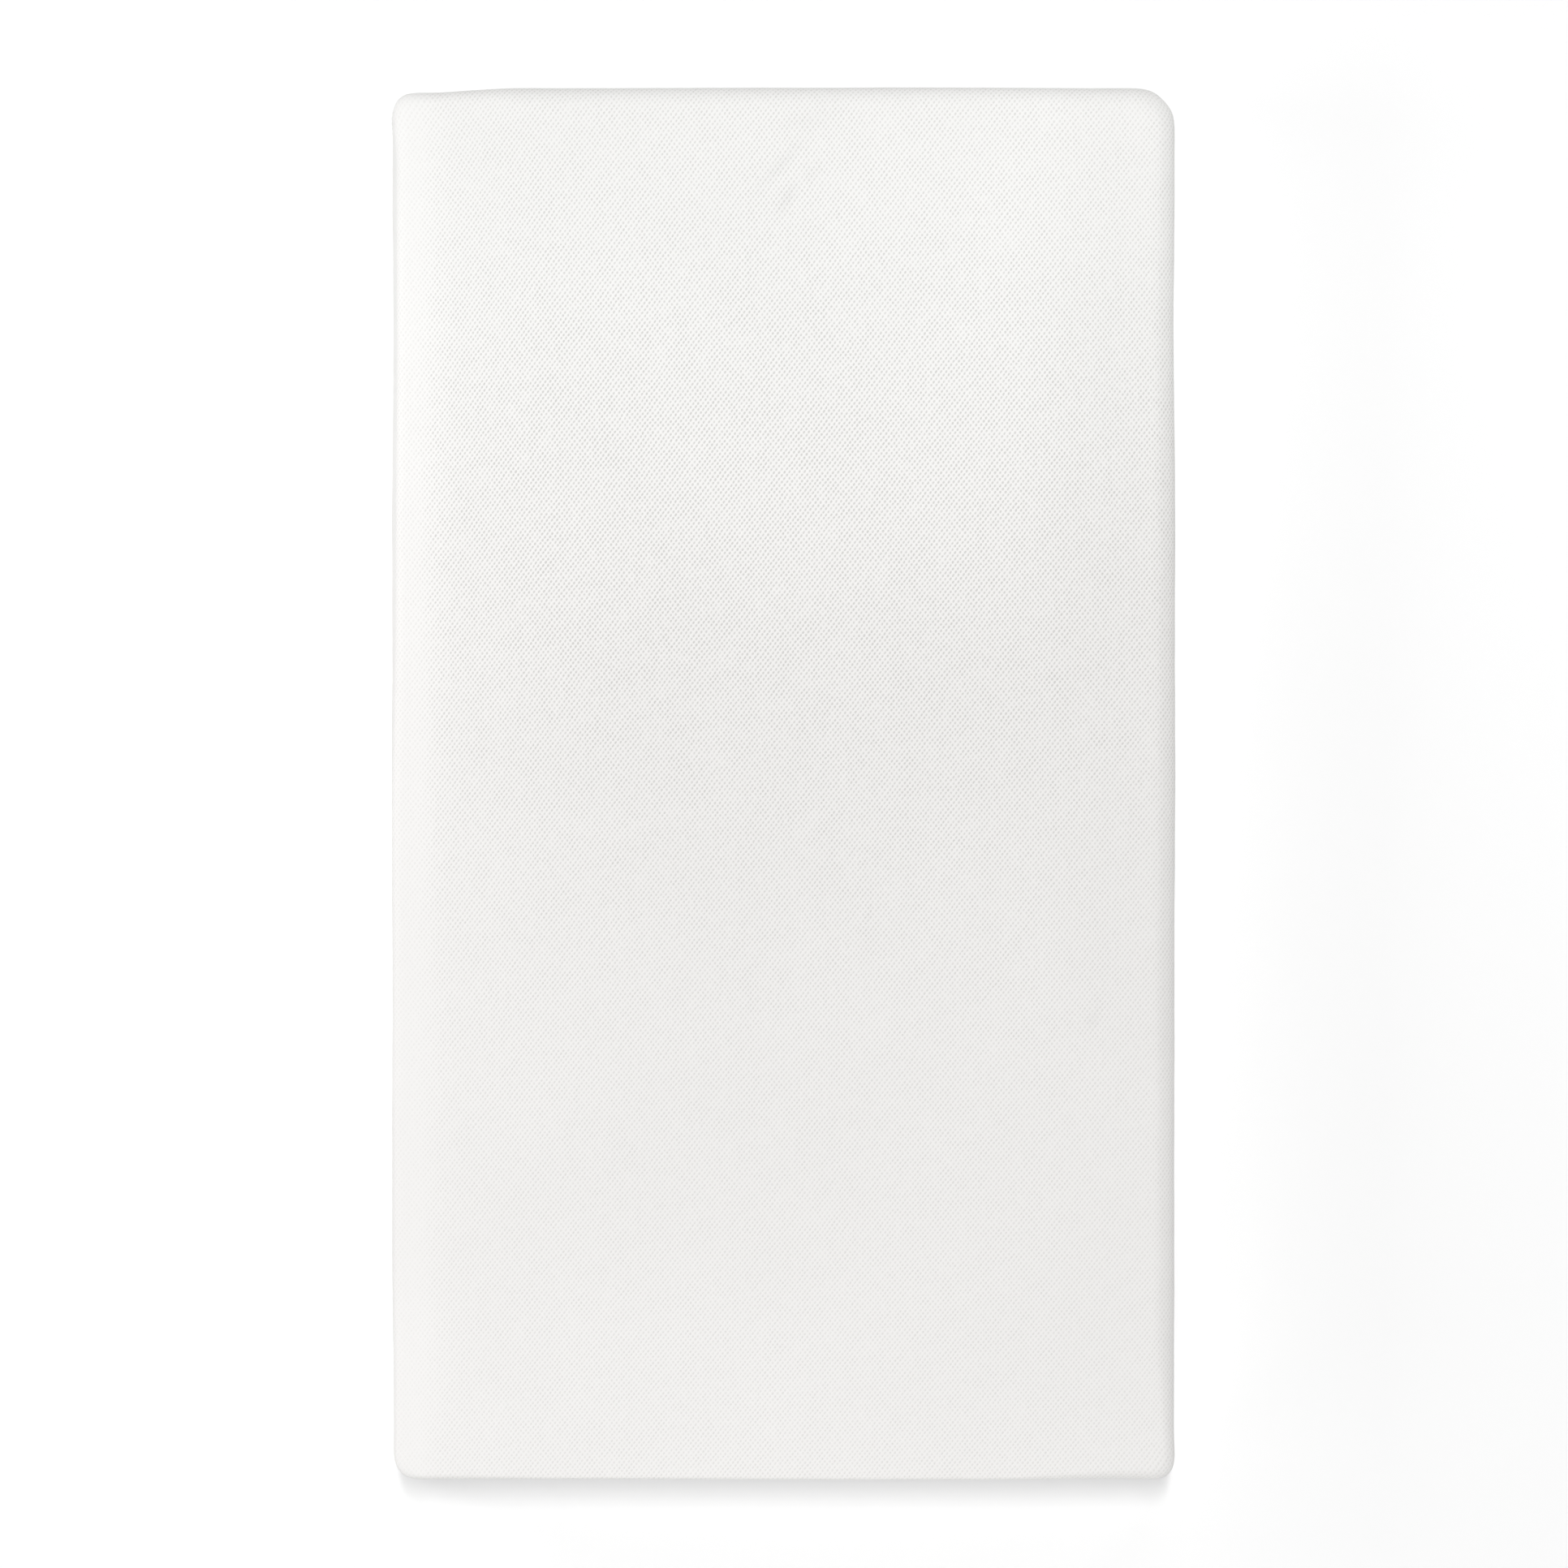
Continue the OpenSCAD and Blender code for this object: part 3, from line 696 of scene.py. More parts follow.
def tube_faces(rings, sides):
    """Faces of a tube made of equal rings of points, closed at both ends."""
    faces = [(r * sides + i, r * sides + (i + 1) % sides, (r + 1) * sides + (i + 1) % sides, (r + 1) * sides + i)
             for r in range(rings - 1) for i in range(sides)]
    return faces + [tuple(range(sides))[::-1], tuple(range((rings - 1) * sides, rings * sides))]


def copies(shapes, faces):
    """Points and faces of many copies of one shape, from the points of each copy."""
    n = len(shapes[0])
    return np.concatenate(shapes), [tuple(k * n + i for i in f) for k in range(len(shapes)) for f in faces]


def straight(xs, y, out):
    """A straight run along X for sweep: places, outward normals and distance run."""
    return np.stack([xs, np.full(len(xs), y)], 1), np.tile([0.0, out], (len(xs), 1)), xs - xs[0]


def capsule(sides=6):
    """A short rounded thread stitch along X, one unit long and one unit in radius."""
    rows = [(-0.5, 0.35), (-0.40, 0.85), (0.0, 1.0), (0.40, 0.85), (0.5, 0.35)]
    verts = [(x, r * math.cos(t), r * math.sin(t)) for x, r in rows for t in turn(sides)]
    return np.array(verts), tube_faces(len(rows), sides)


def stitches(name, centres, along, out, length, radius, tilt=0.0, warped=True):
    """One rounded stitch at each centre, lying along the seam and tilted in the wall's plane."""
    base, base_faces = capsule()
    shapes = []
    up = np.array([0.0, 0.0, 1.0])
    for c, t, o in zip(centres, along, out):
        t3, o3 = np.array([t[0], t[1], 0.0]), np.array([o[0], o[1], 0.0])
        x = t3 * math.cos(tilt) + up * math.sin(tilt)
        y = -t3 * math.sin(tilt) + up * math.cos(tilt)
        bow = (0.25 - base[:, 0] ** 2)[:, None] * o3 * radius * 2.0
        shapes.append(c + base[:, :1] * length * x + base[:, 1:2] * radius * y + base[:, 2:3] * radius * 0.8 * o3 + bow)
    points, faces = copies(shapes, base_faces)
    return make(name, warp(points) if warped else points, faces, "thread")


def straight_stitches(name, xs, y, zs, out, length, radius, tilt=0.0):
    """A row of stitches along X on a wall that faces +Y or -Y."""
    centres = np.column_stack([xs, np.full(len(xs), y), zs])
    along, normals = np.tile([1.0, 0.0], (len(xs), 1)), np.tile([0.0, out], (len(xs), 1))
    return stitches(name, centres, along, normals, length, radius, tilt, warped=False)


def merge(name, objs):
    """Joins meshes into one object, keeping their materials and UV maps."""
    bpy.ops.object.select_all(action="DESELECT")
    for o in objs:
        o.select_set(True)
    bpy.context.view_layer.objects.active = objs[0]
    bpy.ops.object.join()
    objs[0].name = name
    return objs[0]


# ---------------------------------------------------------------- top panel: simulated, then finished
TOP_RIM = Rim(W, L, R_PLAN, 0.048, 0.0045, 0.013)


def top_edge(x, y):
    """Radius over the edge: full on the right, tighter at the head and left, nearly square at the foot."""
    right = float(smoothstep(x, 0.20, 0.345))
    left = float(smoothstep(-x, 0.20, 0.345))
    head = float(smoothstep(y, 0.50, 0.62))
    foot = float(smoothstep(-y, 0.50, 0.62))
    side = 0.020 * right + 0.0085 * left
    end = 0.016 * head + 0.0030 * foot
    if right + left == 0:
        return end
    if head + foot == 0:
        return side
    share = (head + foot) / (head + foot + right + left)
    return side / max(right + left, 1e-6) * (1 - share) + end / max(head + foot, 1e-6) * share


def inflate(obj, pinned, pressure, frames, cap):
    """Cloth pressure from inside, with the hem held; no point may move further than cap."""
    rest = coords(obj)
    group = obj.vertex_groups.new(name="hem")
    group.add([int(i) for i in pinned], 1.0, "REPLACE")
    cloth = obj.modifiers.new("Cloth", "CLOTH")
    s = cloth.settings
    s.quality = 6
    s.mass = 0.3
    s.use_pressure = True
    s.uniform_pressure_force = pressure
    s.tension_stiffness = s.compression_stiffness = 25
    s.shear_stiffness = 10
    s.bending_stiffness = 2.0
    s.air_damping = 2.0
    s.vertex_group_mass = "hem"
    s.effector_weights.gravity = 0
    cloth.collision_settings.use_collision = False
    scene = bpy.context.scene
    scene.frame_start, scene.frame_end = 1, frames
    cloth.point_cache.frame_start, cloth.point_cache.frame_end = 1, frames
    for f in range(1, frames + 1):
        scene.frame_set(f)
    dg = bpy.context.evaluated_depsgraph_get()
    moved = np.empty(len(rest) * 3)
    obj.evaluated_get(dg).data.vertices.foreach_get("co", moved)
    moved = moved.reshape(-1, 3)
    obj.modifiers.remove(cloth)
    obj.vertex_groups.clear()
    scene.frame_set(1)
    step = (moved - rest) * np.array([0.35, 0.35, 1.0])
    size = np.linalg.norm(step, axis=1)
    print("cloth moved up to %.2f mm, median %.2f" % (size.max() * 1000, np.median(size) * 1000))
    keep = cap * np.tanh(size / cap) / np.maximum(size, 1e-9)
    set_coords(obj, rest + step * keep[:, None])


def crease(p, x, y, angle, length, width, depth):
    """A soft straight crease in the top face, as a change in height."""
    c, s = math.cos(angle), math.sin(angle)
    u = (p[:, 0] - x) * c + (p[:, 1] - y) * s
    v = -(p[:, 0] - x) * s + (p[:, 1] - y) * c
    return -depth * np.exp(-(u / length) ** 2 - (v / width) ** 2)


def finish_top(obj):
    p = coords(obj)
    up = smoothstep(p[:, 2], 0.10, 0.128)
    inner = smoothstep(W / 2 - np.abs(p[:, 0]), 0.0, 0.06) * smoothstep(L / 2 - np.abs(p[:, 1]), 0.0, 0.06)
    flat = p * np.array([1, 1, 0])
    waves = 0.0007 * ripple(flat, 0.42, 3) + 0.00028 * ripple(flat, 0.12, 4) + 0.00008 * ripple(flat, 0.035, 5)
    p[:, 2] += up * waves * (0.35 + 0.65 * inner)
    p[:, 2] -= 0.0030 * smoothstep(-p[:, 0], 0.300, 0.350) * up
    p[:, 2] -= up * 0.0016 * np.exp(-((p[:, 0] - 0.06) / 0.22) ** 2 - ((p[:, 1] - 0.03) / 0.14) ** 2)
    for x, y, angle, length, width, depth in (
        (0.001, 0.562, 0.82, 0.026, 0.0050, 0.0014), (0.007, 0.530, 1.02, 0.016, 0.0050, 0.0014),
        (0.029, 0.553, 0.80, 0.010, 0.0050, 0.0010), (0.009, 0.552, 0.90, 0.020, 0.0050, -0.0010),
        (0.283, -0.214, 1.2, 0.008, 0.005, 0.0015),
        (-0.272, 0.597, 0.15, 0.030, 0.009, 0.0009), (-0.235, 0.606, -0.1, 0.022, 0.006, 0.0006)):
        p[:, 2] += up * crease(p, x, y, angle, length, width, depth)
    wall = 1 - up
    hem = smoothstep(p[:, 2], 0.056, 0.066)
    push = 0.0004 * ripple(p * np.array([1, 1, 2.0]), 0.20, 8) + 0.0002 * ripple(p * np.array([1, 1, 2.5]), 0.06, 9)
    side_x = smoothstep(np.abs(p[:, 0]), W / 2 - 0.01, W / 2 - 0.002) * np.sign(p[:, 0])
    side_y = smoothstep(np.abs(p[:, 1]), L / 2 - 0.01, L / 2 - 0.002) * np.sign(p[:, 1])
    p[:, 0] += wall * hem * push * side_x
    p[:, 1] += wall * hem * push * side_y
    set_coords(obj, warp(p))


top, hem = shell("mesh_cover_top", TOP_RIM, top_edge, H - 0.0025, UPPER_SEAM + SEAM / 2, 4, 6, 5, "mesh", cells)
inflate(top, hem, 0.04, 20, 0.0035)
modifier(top, "SUBSURF", levels=1, render_levels=1, uv_smooth="PRESERVE_BOUNDARIES")
apply_all(top)
finish_top(top)
modifier(top, "SOLIDIFY", thickness=WALL - 0.0006, offset=-1, use_even_offset=True, use_rim=True)
apply_all(top)
settle(top, ["cover_top_panel"])

# ---------------------------------------------------------------- bottom panel
BASE_RIM = Rim(W, L, R_PLAN, 0.040, 0.006, 0.020)
base, _ = shell("base_fabric_panel", BASE_RIM, lambda x, y: 0.010, 0.0, LOWER_SEAM - SEAM / 2, 2, 6, 2, "base",
                metres, flip=True)
modifier(base, "SUBSURF", levels=1, render_levels=1)
apply_all(base)
p = coords(base)
waves = 0.00018 * (1 + ripple(p * np.array([1, 1, 0]), 0.09, 21))
p[:, 2] = np.maximum(p[:, 2], 0) + waves * smoothstep(W / 2 - np.abs(p[:, 0]), 0.012, 0.05)
p[:, 2] = np.maximum(p[:, 2], 0)
set_coords(base, warp(p))
modifier(base, "SOLIDIFY", thickness=0.0024, offset=-1, use_even_offset=True, use_rim=True)
apply_all(base)
settle(base, ["cover_bottom_panel"])

# ---------------------------------------------------------------- side band and the strips above and below the zip
band_low, band_high = LOWER_SEAM + SEAM / 2, UPPER_SEAM - SEAM / 2
WALL_RIM = Rim(W, L, R_PLAN, 0.048, 0.005, 0.006)


def band_profile(low, high, thick, bow, n=7):
    """A strip of cloth seen end on: outer face bowed a little, edges rolled in."""
    zs = np.linspace(low, high, n)
    outer = [(bow * math.sin(math.pi * (z - low) / (high - low)) - 0.0004, z) for z in zs]
    outer[0], outer[-1] = (-0.0009, low), (-0.0009, high)
    inner = [(-thick, z) for z in zs[::-1]]
    return outer + inner


joint_q = WALL_RIM.q_at(3, JOINT_X + SEAM / 2)
u_places, u_normals, _ = path(WALL_RIM, (0, 1, 2))
right_places, right_normals, _ = path(WALL_RIM, (3,), {3: (joint_q, 1.0)})
left_places, left_normals, _ = path(WALL_RIM, (3,), {3: (-1.0, -joint_q)})
places = np.concatenate([right_places, u_places, left_places])
normals = np.concatenate([right_normals, u_normals, left_normals])
keep = np.concatenate([[True], np.linalg.norm(np.diff(places, axis=0), axis=1) > 1e-5])
places, normals = places[keep], normals[keep]
run = np.concatenate([[0], np.cumsum(np.linalg.norm(np.diff(places, axis=0), axis=1))])
band = sweep("mesh_side_band", places, normals, run, band_profile(band_low, band_high, WALL - 0.0006, 0.0007),
             "mesh", closed=False, scale=EYELETS, caps=True)
settle(band, ["cover_side_band"])

strip_way = straight(np.linspace(-JOINT_X + 0.001, JOINT_X - 0.001, 150), FOOT, -1.0)
for node, low, high in (("foot_strip_upper", STRIP_HIGH, band_high), ("foot_strip_lower", band_low, STRIP_LOW)):
    zs = np.linspace(low, high, 6)
    fold = [(-0.0010, low), (-0.0003, low + 0.0007)] + [(-0.0001, z) for z in zs[1:-1]]
    fold += [(-0.0003, high - 0.0007), (-0.0010, high)]
    profile = fold + [(-0.0029, high), (-0.0031, high - 0.0006), (-0.0031, low + 0.0006), (-0.0029, low)]
    strip = sweep("mesh_" + node, *strip_way, profile, "mesh",
                  closed=False, warped=False, scale=EYELETS, caps=True)
    settle(strip, [node])

# ---------------------------------------------------------------- seams with their stitches
ring_places, ring_normals, ring_run = path(WALL_RIM)


def along_ring(spacing):
    """Places, outward normals and directions evenly spaced round the whole cover."""
    total = ring_run[-1] + np.linalg.norm(ring_places[0] - ring_places[-1])
    count = int(total / spacing)
    at = np.arange(count) * total / count
    closed_run = np.append(ring_run, total)
    pl = np.vstack([ring_places, ring_places[:1]])
    no = np.vstack([ring_normals, ring_normals[:1]])
    p = np.stack([np.interp(at, closed_run, pl[:, i]) for i in (0, 1)], 1)
    n = np.stack([np.interp(at, closed_run, no[:, i]) for i in (0, 1)], 1)
    n /= np.linalg.norm(n, axis=1)[:, None]
    return p, n, np.stack([-n[:, 1], n[:, 0]], 1)


def seam(name, height, node):
    """A closed sewn seam: a folded welt with a row of stitches on it."""
    r = SEAM / 2
    ring = [(-0.0001 + 0.0006 * math.cos(t), height + r * 1.02 * math.sin(t)) for t in np.linspace(-1.45, 1.45, 7)]
    ring += [(-0.0036, height + r * 0.9), (-0.0036, height - r * 0.9)]
    welt = sweep(name + "_welt", ring_places, ring_normals, ring_run, ring, "thread", scale=(1.0, 1.0))
    p, n, t = along_ring(0.0042)
    centres = np.column_stack([p + n * 0.00045, np.full(len(p), height)])
    sewn = stitches(name + "_stitches", centres, t, n, 0.0036, 0.00042, tilt=0.42)
    return settle(merge(name, [welt, sewn]), [node])


seam("upper_cover_seam", UPPER_SEAM, "upper_seam")
seam("lower_cover_seam", LOWER_SEAM, "lower_seam")


def lockstitch(name, z, node):
    """A straight row of topstitching along the foot end."""
    xs = np.arange(-JOINT_X + 0.004, JOINT_X - 0.003, 0.0036)
    row = straight_stitches(name, xs, FOOT - 0.00002, np.full(len(xs), z), -1.0, 0.0031, 0.0003)
    return settle(row, [node])


lockstitch("topstitch_above_zip", STRIP_HIGH + 0.0025, "upper_zip_stitching")
lockstitch("topstitch_below_zip", STRIP_LOW - 0.0025, "lower_zip_stitching")


def upright_joint(name, side, node):
    """The seam that stands between the side band and the zip panel, with its row of stitches."""
    zs = np.linspace(band_low, band_high, 16)
    x = side * JOINT_X
    verts = []
    ring = [(-0.0011, 0.0), (-0.0007, -0.00055), (0.0, -0.0008), (0.0007, -0.00055), (0.0011, 0.0),
            (0.0010, 0.0040), (-0.0010, 0.0040)]
    for z in zs:
        wobble = 0.00012 * math.sin(z * 900)
        verts += [(x + dx + wobble, FOOT + dy, z) for dx, dy in ring]
    welt = make(node + "_welt", verts, tube_faces(len(zs), len(ring)), "thread")
    stitch, stitch_faces = capsule()
    shapes = [np.column_stack([stitch[:, 1] * 0.00035 + x, FOOT - 0.0008 + stitch[:, 2] * 0.0003,
                               z + stitch[:, 0] * 0.0027])
              for z in np.arange(band_low + 0.002, band_high - 0.001, 0.0032)]
    sewn = make(node + "_sewn", *copies(shapes, stitch_faces), "thread")
    return settle(merge(name, [welt, sewn]), [node])


upright_joint("left_band_joint", -1, "band_joint_left")
upright_joint("right_band_joint", 1, "band_joint_right")

# ---------------------------------------------------------------- zip: tapes, teeth, stops, slider, pull
y0, y1 = -0.0032, -0.0042
for node, side in (("zip_tape_upper", 1), ("zip_tape_lower", -1)):
    zs = ZIP_Z + side * np.array([0.003, 0.0038, 0.0046, 0.0095, 0.016])
    outer = [(y0 + 0.00012, zs[0]), (y0 + 0.00018, zs[1]), (y0, zs[2]), (y0, zs[3]), (y0 - 0.0001, zs[4])]
    inner = [(y1 + 0.0001, zs[4]), (y1, zs[3]), (y1, zs[2]), (y1 - 0.00018, zs[1]), (y1 - 0.00012, zs[0])]
    profile = (outer + inner)[::side]
    tape = sweep("woven_" + node, *strip_way, profile, "tape", closed=False, warped=False, caps=True)
    settle(tape, [node])


def bevelled(name, verts, faces, mat, width, segments=2, angle=0.6):
    obj = make(name, verts, faces, mat)
    m = modifier(obj, "BEVEL", width=width, segments=segments, limit_method="ANGLE", angle_limit=angle)
    m.harden_normals = False
    return apply_all(obj)


def prism(outline, y0, y1):
    """A flat outline in X and Z made into a block between two Y planes."""
    n = len(outline)
    verts = [(x, y0, z) for x, z in outline] + [(x, y1, z) for x, z in outline]
    faces = [tuple(range(n)), tuple(range(2 * n - 1, n - 1, -1))]
    faces += [((i + 1) % n, i, n + i, n + (i + 1) % n) for i in range(n)]
    return verts, faces


def tooth():
    """One moulded tooth that points to +Z from its cord, with a waisted neck and a rounded head."""
    outline = [(-0.00062, -0.0004), (0.00062, -0.0004), (0.00058, 0.0010), (0.00046, 0.0015), (0.00072, 0.0020),
               (0.00068, 0.0026), (0.00030, 0.0029), (-0.00030, 0.0029), (-0.00068, 0.0026), (-0.00072, 0.0020),
               (-0.00046, 0.0015), (-0.00058, 0.0010)]
    verts, faces = prism(outline, -0.00118, 0.00118)
    return bevelled("tooth", verts, faces, "teeth", 0.00016, 1)


def tooth_row(name, side, node):
    """A row of teeth on its cord; the two rows are half a pitch apart, so the upper one has a tooth more."""
    one = tooth()
    base_v = coords(one)
    base_f = [tuple(p.vertices)[::-side] for p in one.data.polygons]
    bpy.data.objects.remove(one)
    count = 184 if side > 0 else 183
    first = -CHAIN_LENGTH / 2 + (PITCH / 2 if side > 0 else PITCH)
    shapes = [base_v * np.array([1, 1, -side]) + np.array([first + i * PITCH, CHAIN_Y, ZIP_Z + side * 0.003])
              for i in range(count)]
    teeth = make(name, *copies(shapes, base_f), "teeth", smooth=False)
    ring = [(0.0011 * math.cos(t), ZIP_Z + side * 0.0027 + 0.0005 * math.sin(t)) for t in turn(8)]
    xs = np.linspace(-CHAIN_LENGTH / 2, CHAIN_LENGTH / 2, 60)
    spine = sweep(name + "_cord", *straight(xs, CHAIN_Y, -1.0), ring, "teeth",
                  closed=False, warped=False, caps=True)
    for layer in list(spine.data.uv_layers):
        spine.data.uv_layers.remove(layer)
    return settle(merge(name, [teeth, spine]), [node])


tooth_row("moulded_teeth_upper", 1, "zip_teeth_upper")
tooth_row("moulded_teeth_lower", -1, "zip_teeth_lower")


def stop_blocks(name, boxes, node):
    """Crimped metal stops, one for each box given by its X and Z limits."""
    parts = []
    for x0, x1, z0, z1 in boxes:
        outline = [(x0, z0), (x1, z0), (x1, z1), (x0, z1)]
        verts, faces = prism(outline, CHAIN_Y - 0.0012, CHAIN_Y + 0.0012)
        parts.append(bevelled(name, verts, faces, "metal", 0.0005, 3))
    return settle(merge(name, parts) if len(parts) > 1 else parts[0], [node])


end = CHAIN_LENGTH / 2
stop_blocks("crimped_top_stops", [(end, end + 0.003, ZIP_Z - 0.003, ZIP_Z - 0.00045),
                                  (end, end + 0.003, ZIP_Z + 0.00045, ZIP_Z + 0.003)], "zip_top_stops")
stop_blocks("crimped_bottom_stop", [(-end - 0.003, -end, ZIP_Z - 0.003, ZIP_Z + 0.003)], "zip_bottom_stop")


def plate_outline(length, wide, narrow, n=7):
    """A slider plate seen from the front: broad rounded shoulders at +X, narrower rounded tail at -X."""
    out = []
    h = length / 2
    r = 0.0022
    for cx, cz, a0, half in ((h - r, 1, 0.0, wide), (-h + r, 1, math.pi / 2, narrow),
                             (-h + r, -1, math.pi, narrow), (h - r, -1, 1.5 * math.pi, wide)):
        for t in np.linspace(a0, a0 + math.pi / 2, n):
            out.append((cx + r * math.cos(t), cz * (half - r) + r * math.sin(t)))
    return out


def slider():
    """Two plates with side rails round the chain, and a bail on the outer plate."""
    parts = []
    half_w = 0.0041
    for s in (-1, 1):
        outline = plate_outline(0.0105, half_w, half_w - 0.0004)
        y_face, y_in = CHAIN_Y + s * 0.0024, CHAIN_Y + s * 0.0014
        verts, faces = prism(outline, min(y_face, y_in), max(y_face, y_in))
        parts.append(bevelled("plate", verts, faces, "metal", 0.00028, 3))
        for z in (-1, 1):
            rail = [(-0.0044, z * 0.0032), (0.0044, z * 0.0033), (0.0044, z * 0.0041), (-0.0044, z * 0.0038)]
            if z < 0:
                rail = rail[::-1]
            verts, faces = prism(rail, min(y_in, CHAIN_Y + s * 0.0007), max(y_in, CHAIN_Y + s * 0.0007))
            parts.append(bevelled("rail", verts, faces, "metal", 0.0001, 2))
    arch = []
    face = CHAIN_Y - 0.0024
    for t in np.linspace(0, math.pi, 13):
        c, s = math.cos(t), math.sin(t)
        arch.append((-0.0025 * (abs(c) ** 0.55) * (1 if c > 0 else -1), face + 0.0002 - 0.0022 * (abs(s) ** 0.55)))
    arch = [(-0.0025, face + 0.0006)] + arch + [(0.0025, face + 0.0006)]
    verts = []
    n = len(arch)
    section = [(math.cos(t), math.sin(t)) for t in turn(10)]
    for i, (x, y) in enumerate(arch):
        a, b = arch[max(i - 1, 0)], arch[min(i + 1, n - 1)]
        dx, dy = b[0] - a[0], b[1] - a[1]
        d = math.hypot(dx, dy)
        nx, ny = -dy / d, dx / d
        for u, v in section:
            verts.append((x + nx * 0.0005 * u, y + ny * 0.0005 * u, 0.0008 * v))
    parts.append(make("bail", verts, tube_faces(n, len(section)), "metal"))
    body = merge("zip_slider_body", parts)
    set_coords(body, coords(body) + np.array([SLIDER_X, 0, ZIP_Z]))
    return settle(body, ["zip_slider"], "zip_slider")


def pull():
    """A teardrop pull with an eye round the bail, bevelled edges and shallow finger ribs."""
    bm = bmesh.new()
    length, half, thick = 0.024, 0.0032, 0.0011
    outer = []
    for t in np.linspace(-math.pi / 2, math.pi / 2, 15):
        outer.append((-length + half - half * math.cos(t), half * math.sin(t)))
    outer += [(-0.0125, 0.0027), (-0.0080, 0.0026), (-0.0040, 0.0031), (-0.0006, 0.0031), (0.0001, 0.0027)]
    outer += [(0.0001, -0.0027), (-0.0006, -0.0031), (-0.0040, -0.0031), (-0.0080, -0.0026), (-0.0125, -0.0027)]
    eye = [(0.0000, 0.00118), (-0.0036, 0.00118), (-0.0039, 0.0007), (-0.0039, -0.0007), (-0.0036, -0.00118),
           (0.0000, -0.00118)]
    hole = [(-length + half + 0.0006 + 0.0013 * math.cos(t), 0.0013 * math.sin(t)) for t in turn(16)]
    edges = []
    for ring in (outer, eye, hole):
        vs = [bm.verts.new((x, -thick / 2, z)) for x, z in ring]
        edges += [bm.edges.new((vs[i], vs[(i + 1) % len(vs)])) for i in range(len(vs))]
    bmesh.ops.triangle_fill(bm, use_beauty=True, use_dissolve=False, edges=edges, normal=(0, -1, 0))
    top_faces = list(bm.faces)
    bmesh.ops.recalc_face_normals(bm, faces=top_faces)
    grown = bmesh.ops.extrude_face_region(bm, geom=top_faces)
    moved = [v for v in grown["geom"] if isinstance(v, bmesh.types.BMVert)]
    bmesh.ops.translate(bm, verts=moved, vec=(0, thick, 0))
    bmesh.ops.recalc_face_normals(bm, faces=list(bm.faces))
    mesh = bpy.data.meshes.new("pull_plate")
    bm.to_mesh(mesh)
    bm.free()
    plate = bpy.data.objects.new("pull_plate", mesh)
    bpy.context.scene.collection.objects.link(plate)
    mesh.materials.append(MAT["metal"])
    modifier(plate, "BEVEL", width=0.00022, segments=3, limit_method="ANGLE", angle_limit=0.7)
    apply_all(plate)
    plate.data.polygons.foreach_set("use_smooth", [True] * len(plate.data.polygons))
    parts = [plate]
    for x in np.arange(-0.0150, -0.0085, 0.0012):
        for s in (-1, 1):
            verts = [(x + 0.00022 * math.cos(t), s * (thick / 2 - 0.00006) + 0.00016 * math.sin(t) * s, z)
                     for z in (-0.0017, 0.0017) for t in turn(8)]
            faces = tube_faces(2, 8)
            if s < 0:
                faces = [f[::-1] for f in faces]
            parts.append(make("rib", verts, faces, "metal"))
    bar = [(0.00055 * math.cos(t), 0.00055 * math.sin(t), z) for z in np.linspace(-0.0031, 0.0031, 5) for t in turn(16)]
    parts.append(make("bar", bar, tube_faces(5, 16), "metal"))
    tab = merge("zip_pull", parts)
    set_coords(tab, coords(tab) + np.array([SLIDER_X, PULL_Y, ZIP_Z]))
    return settle(tab, ["zip_pull_tab"], "zip_pull")


slider()
pull()

# ---------------------------------------------------------------- inside: sock, foams; outside: label
inner_shift = ZIP_ROOM / 2
sock_w, sock_l = W - 2 * (WALL + GAP), L - 2 * (WALL + GAP) - ZIP_ROOM
sock_low, sock_high = 0.0027, H - WALL - GAP


def block(name, w, l, r, shift, edge, top_z, low_z, r_low, mat):
    """A closed form: a flat top turned over at its rim, straight walls, and a flat base with a rounded lower edge."""
    rim = Rim(w, l, r, 0.040, 0.009, 0.018, shift=shift)
    obj, last = shell(name, rim, edge, top_z, low_z + r_low, 3, 5, 4, mat, metres)
    verts = [tuple(v) for v in coords(obj)]
    faces = [tuple(p.vertices) for p in obj.data.polygons]
    uv = np.empty(len(obj.data.loops) * 2)
    obj.data.uv_layers["weave"].data.foreach_get("uv", uv)
    uv = [tuple(v) for v in uv.reshape(-1, 2)]
    normals = [rim.at(*key)[2] for key in rim.loop()]
    ring, n = list(last), len(last)
    for t in np.linspace(0, math.pi / 2, 5)[1:] if r_low else []:
        fresh = []
        for i, v in enumerate(last):
            inset = r_low * (1 - math.cos(t))
            fresh.append(len(verts))
            verts.append((verts[v][0] - normals[i][0] * inset, verts[v][1] - normals[i][1] * inset,
                          low_z + r_low * (1 - math.sin(t))))
        for i in range(n):
            j = (i + 1) % n
            faces.append((ring[i], fresh[i], fresh[j], ring[j]))
            uv += [(verts[v][0] + verts[v][2], verts[v][1] + verts[v][2]) for v in faces[-1]]
        ring = fresh
    faces.append(tuple(ring[::-1]))
    uv += [verts[v][:2] for v in faces[-1]]
    bpy.data.objects.remove(obj)
    obj = make(name, warp(np.array(verts)), faces, mat)
    set_uv(obj, "weave", uv)
    return obj


def fit_inside(obj, around, gap, above):
    """Brings the points above a height to just inside the piece around them, so that layers touch without crossing."""
    bpy.context.view_layer.update()
    tree = BVHTree.FromPolygons([v.co for v in around.data.vertices],
                                [tuple(p.vertices) for p in around.data.polygons])
    points = coords(obj)
    for i, v in enumerate(obj.data.vertices):
        if v.co.z < above:
            continue
        way = v.normal.copy()
        if way.z < 0.02:
            way = Vector((way.x, way.y, 0)).normalized()
        hit = tree.ray_cast(v.co - way * 0.02, way, 0.05)[0]
        if hit:
            points[i] = hit - way * gap
    set_coords(obj, points)


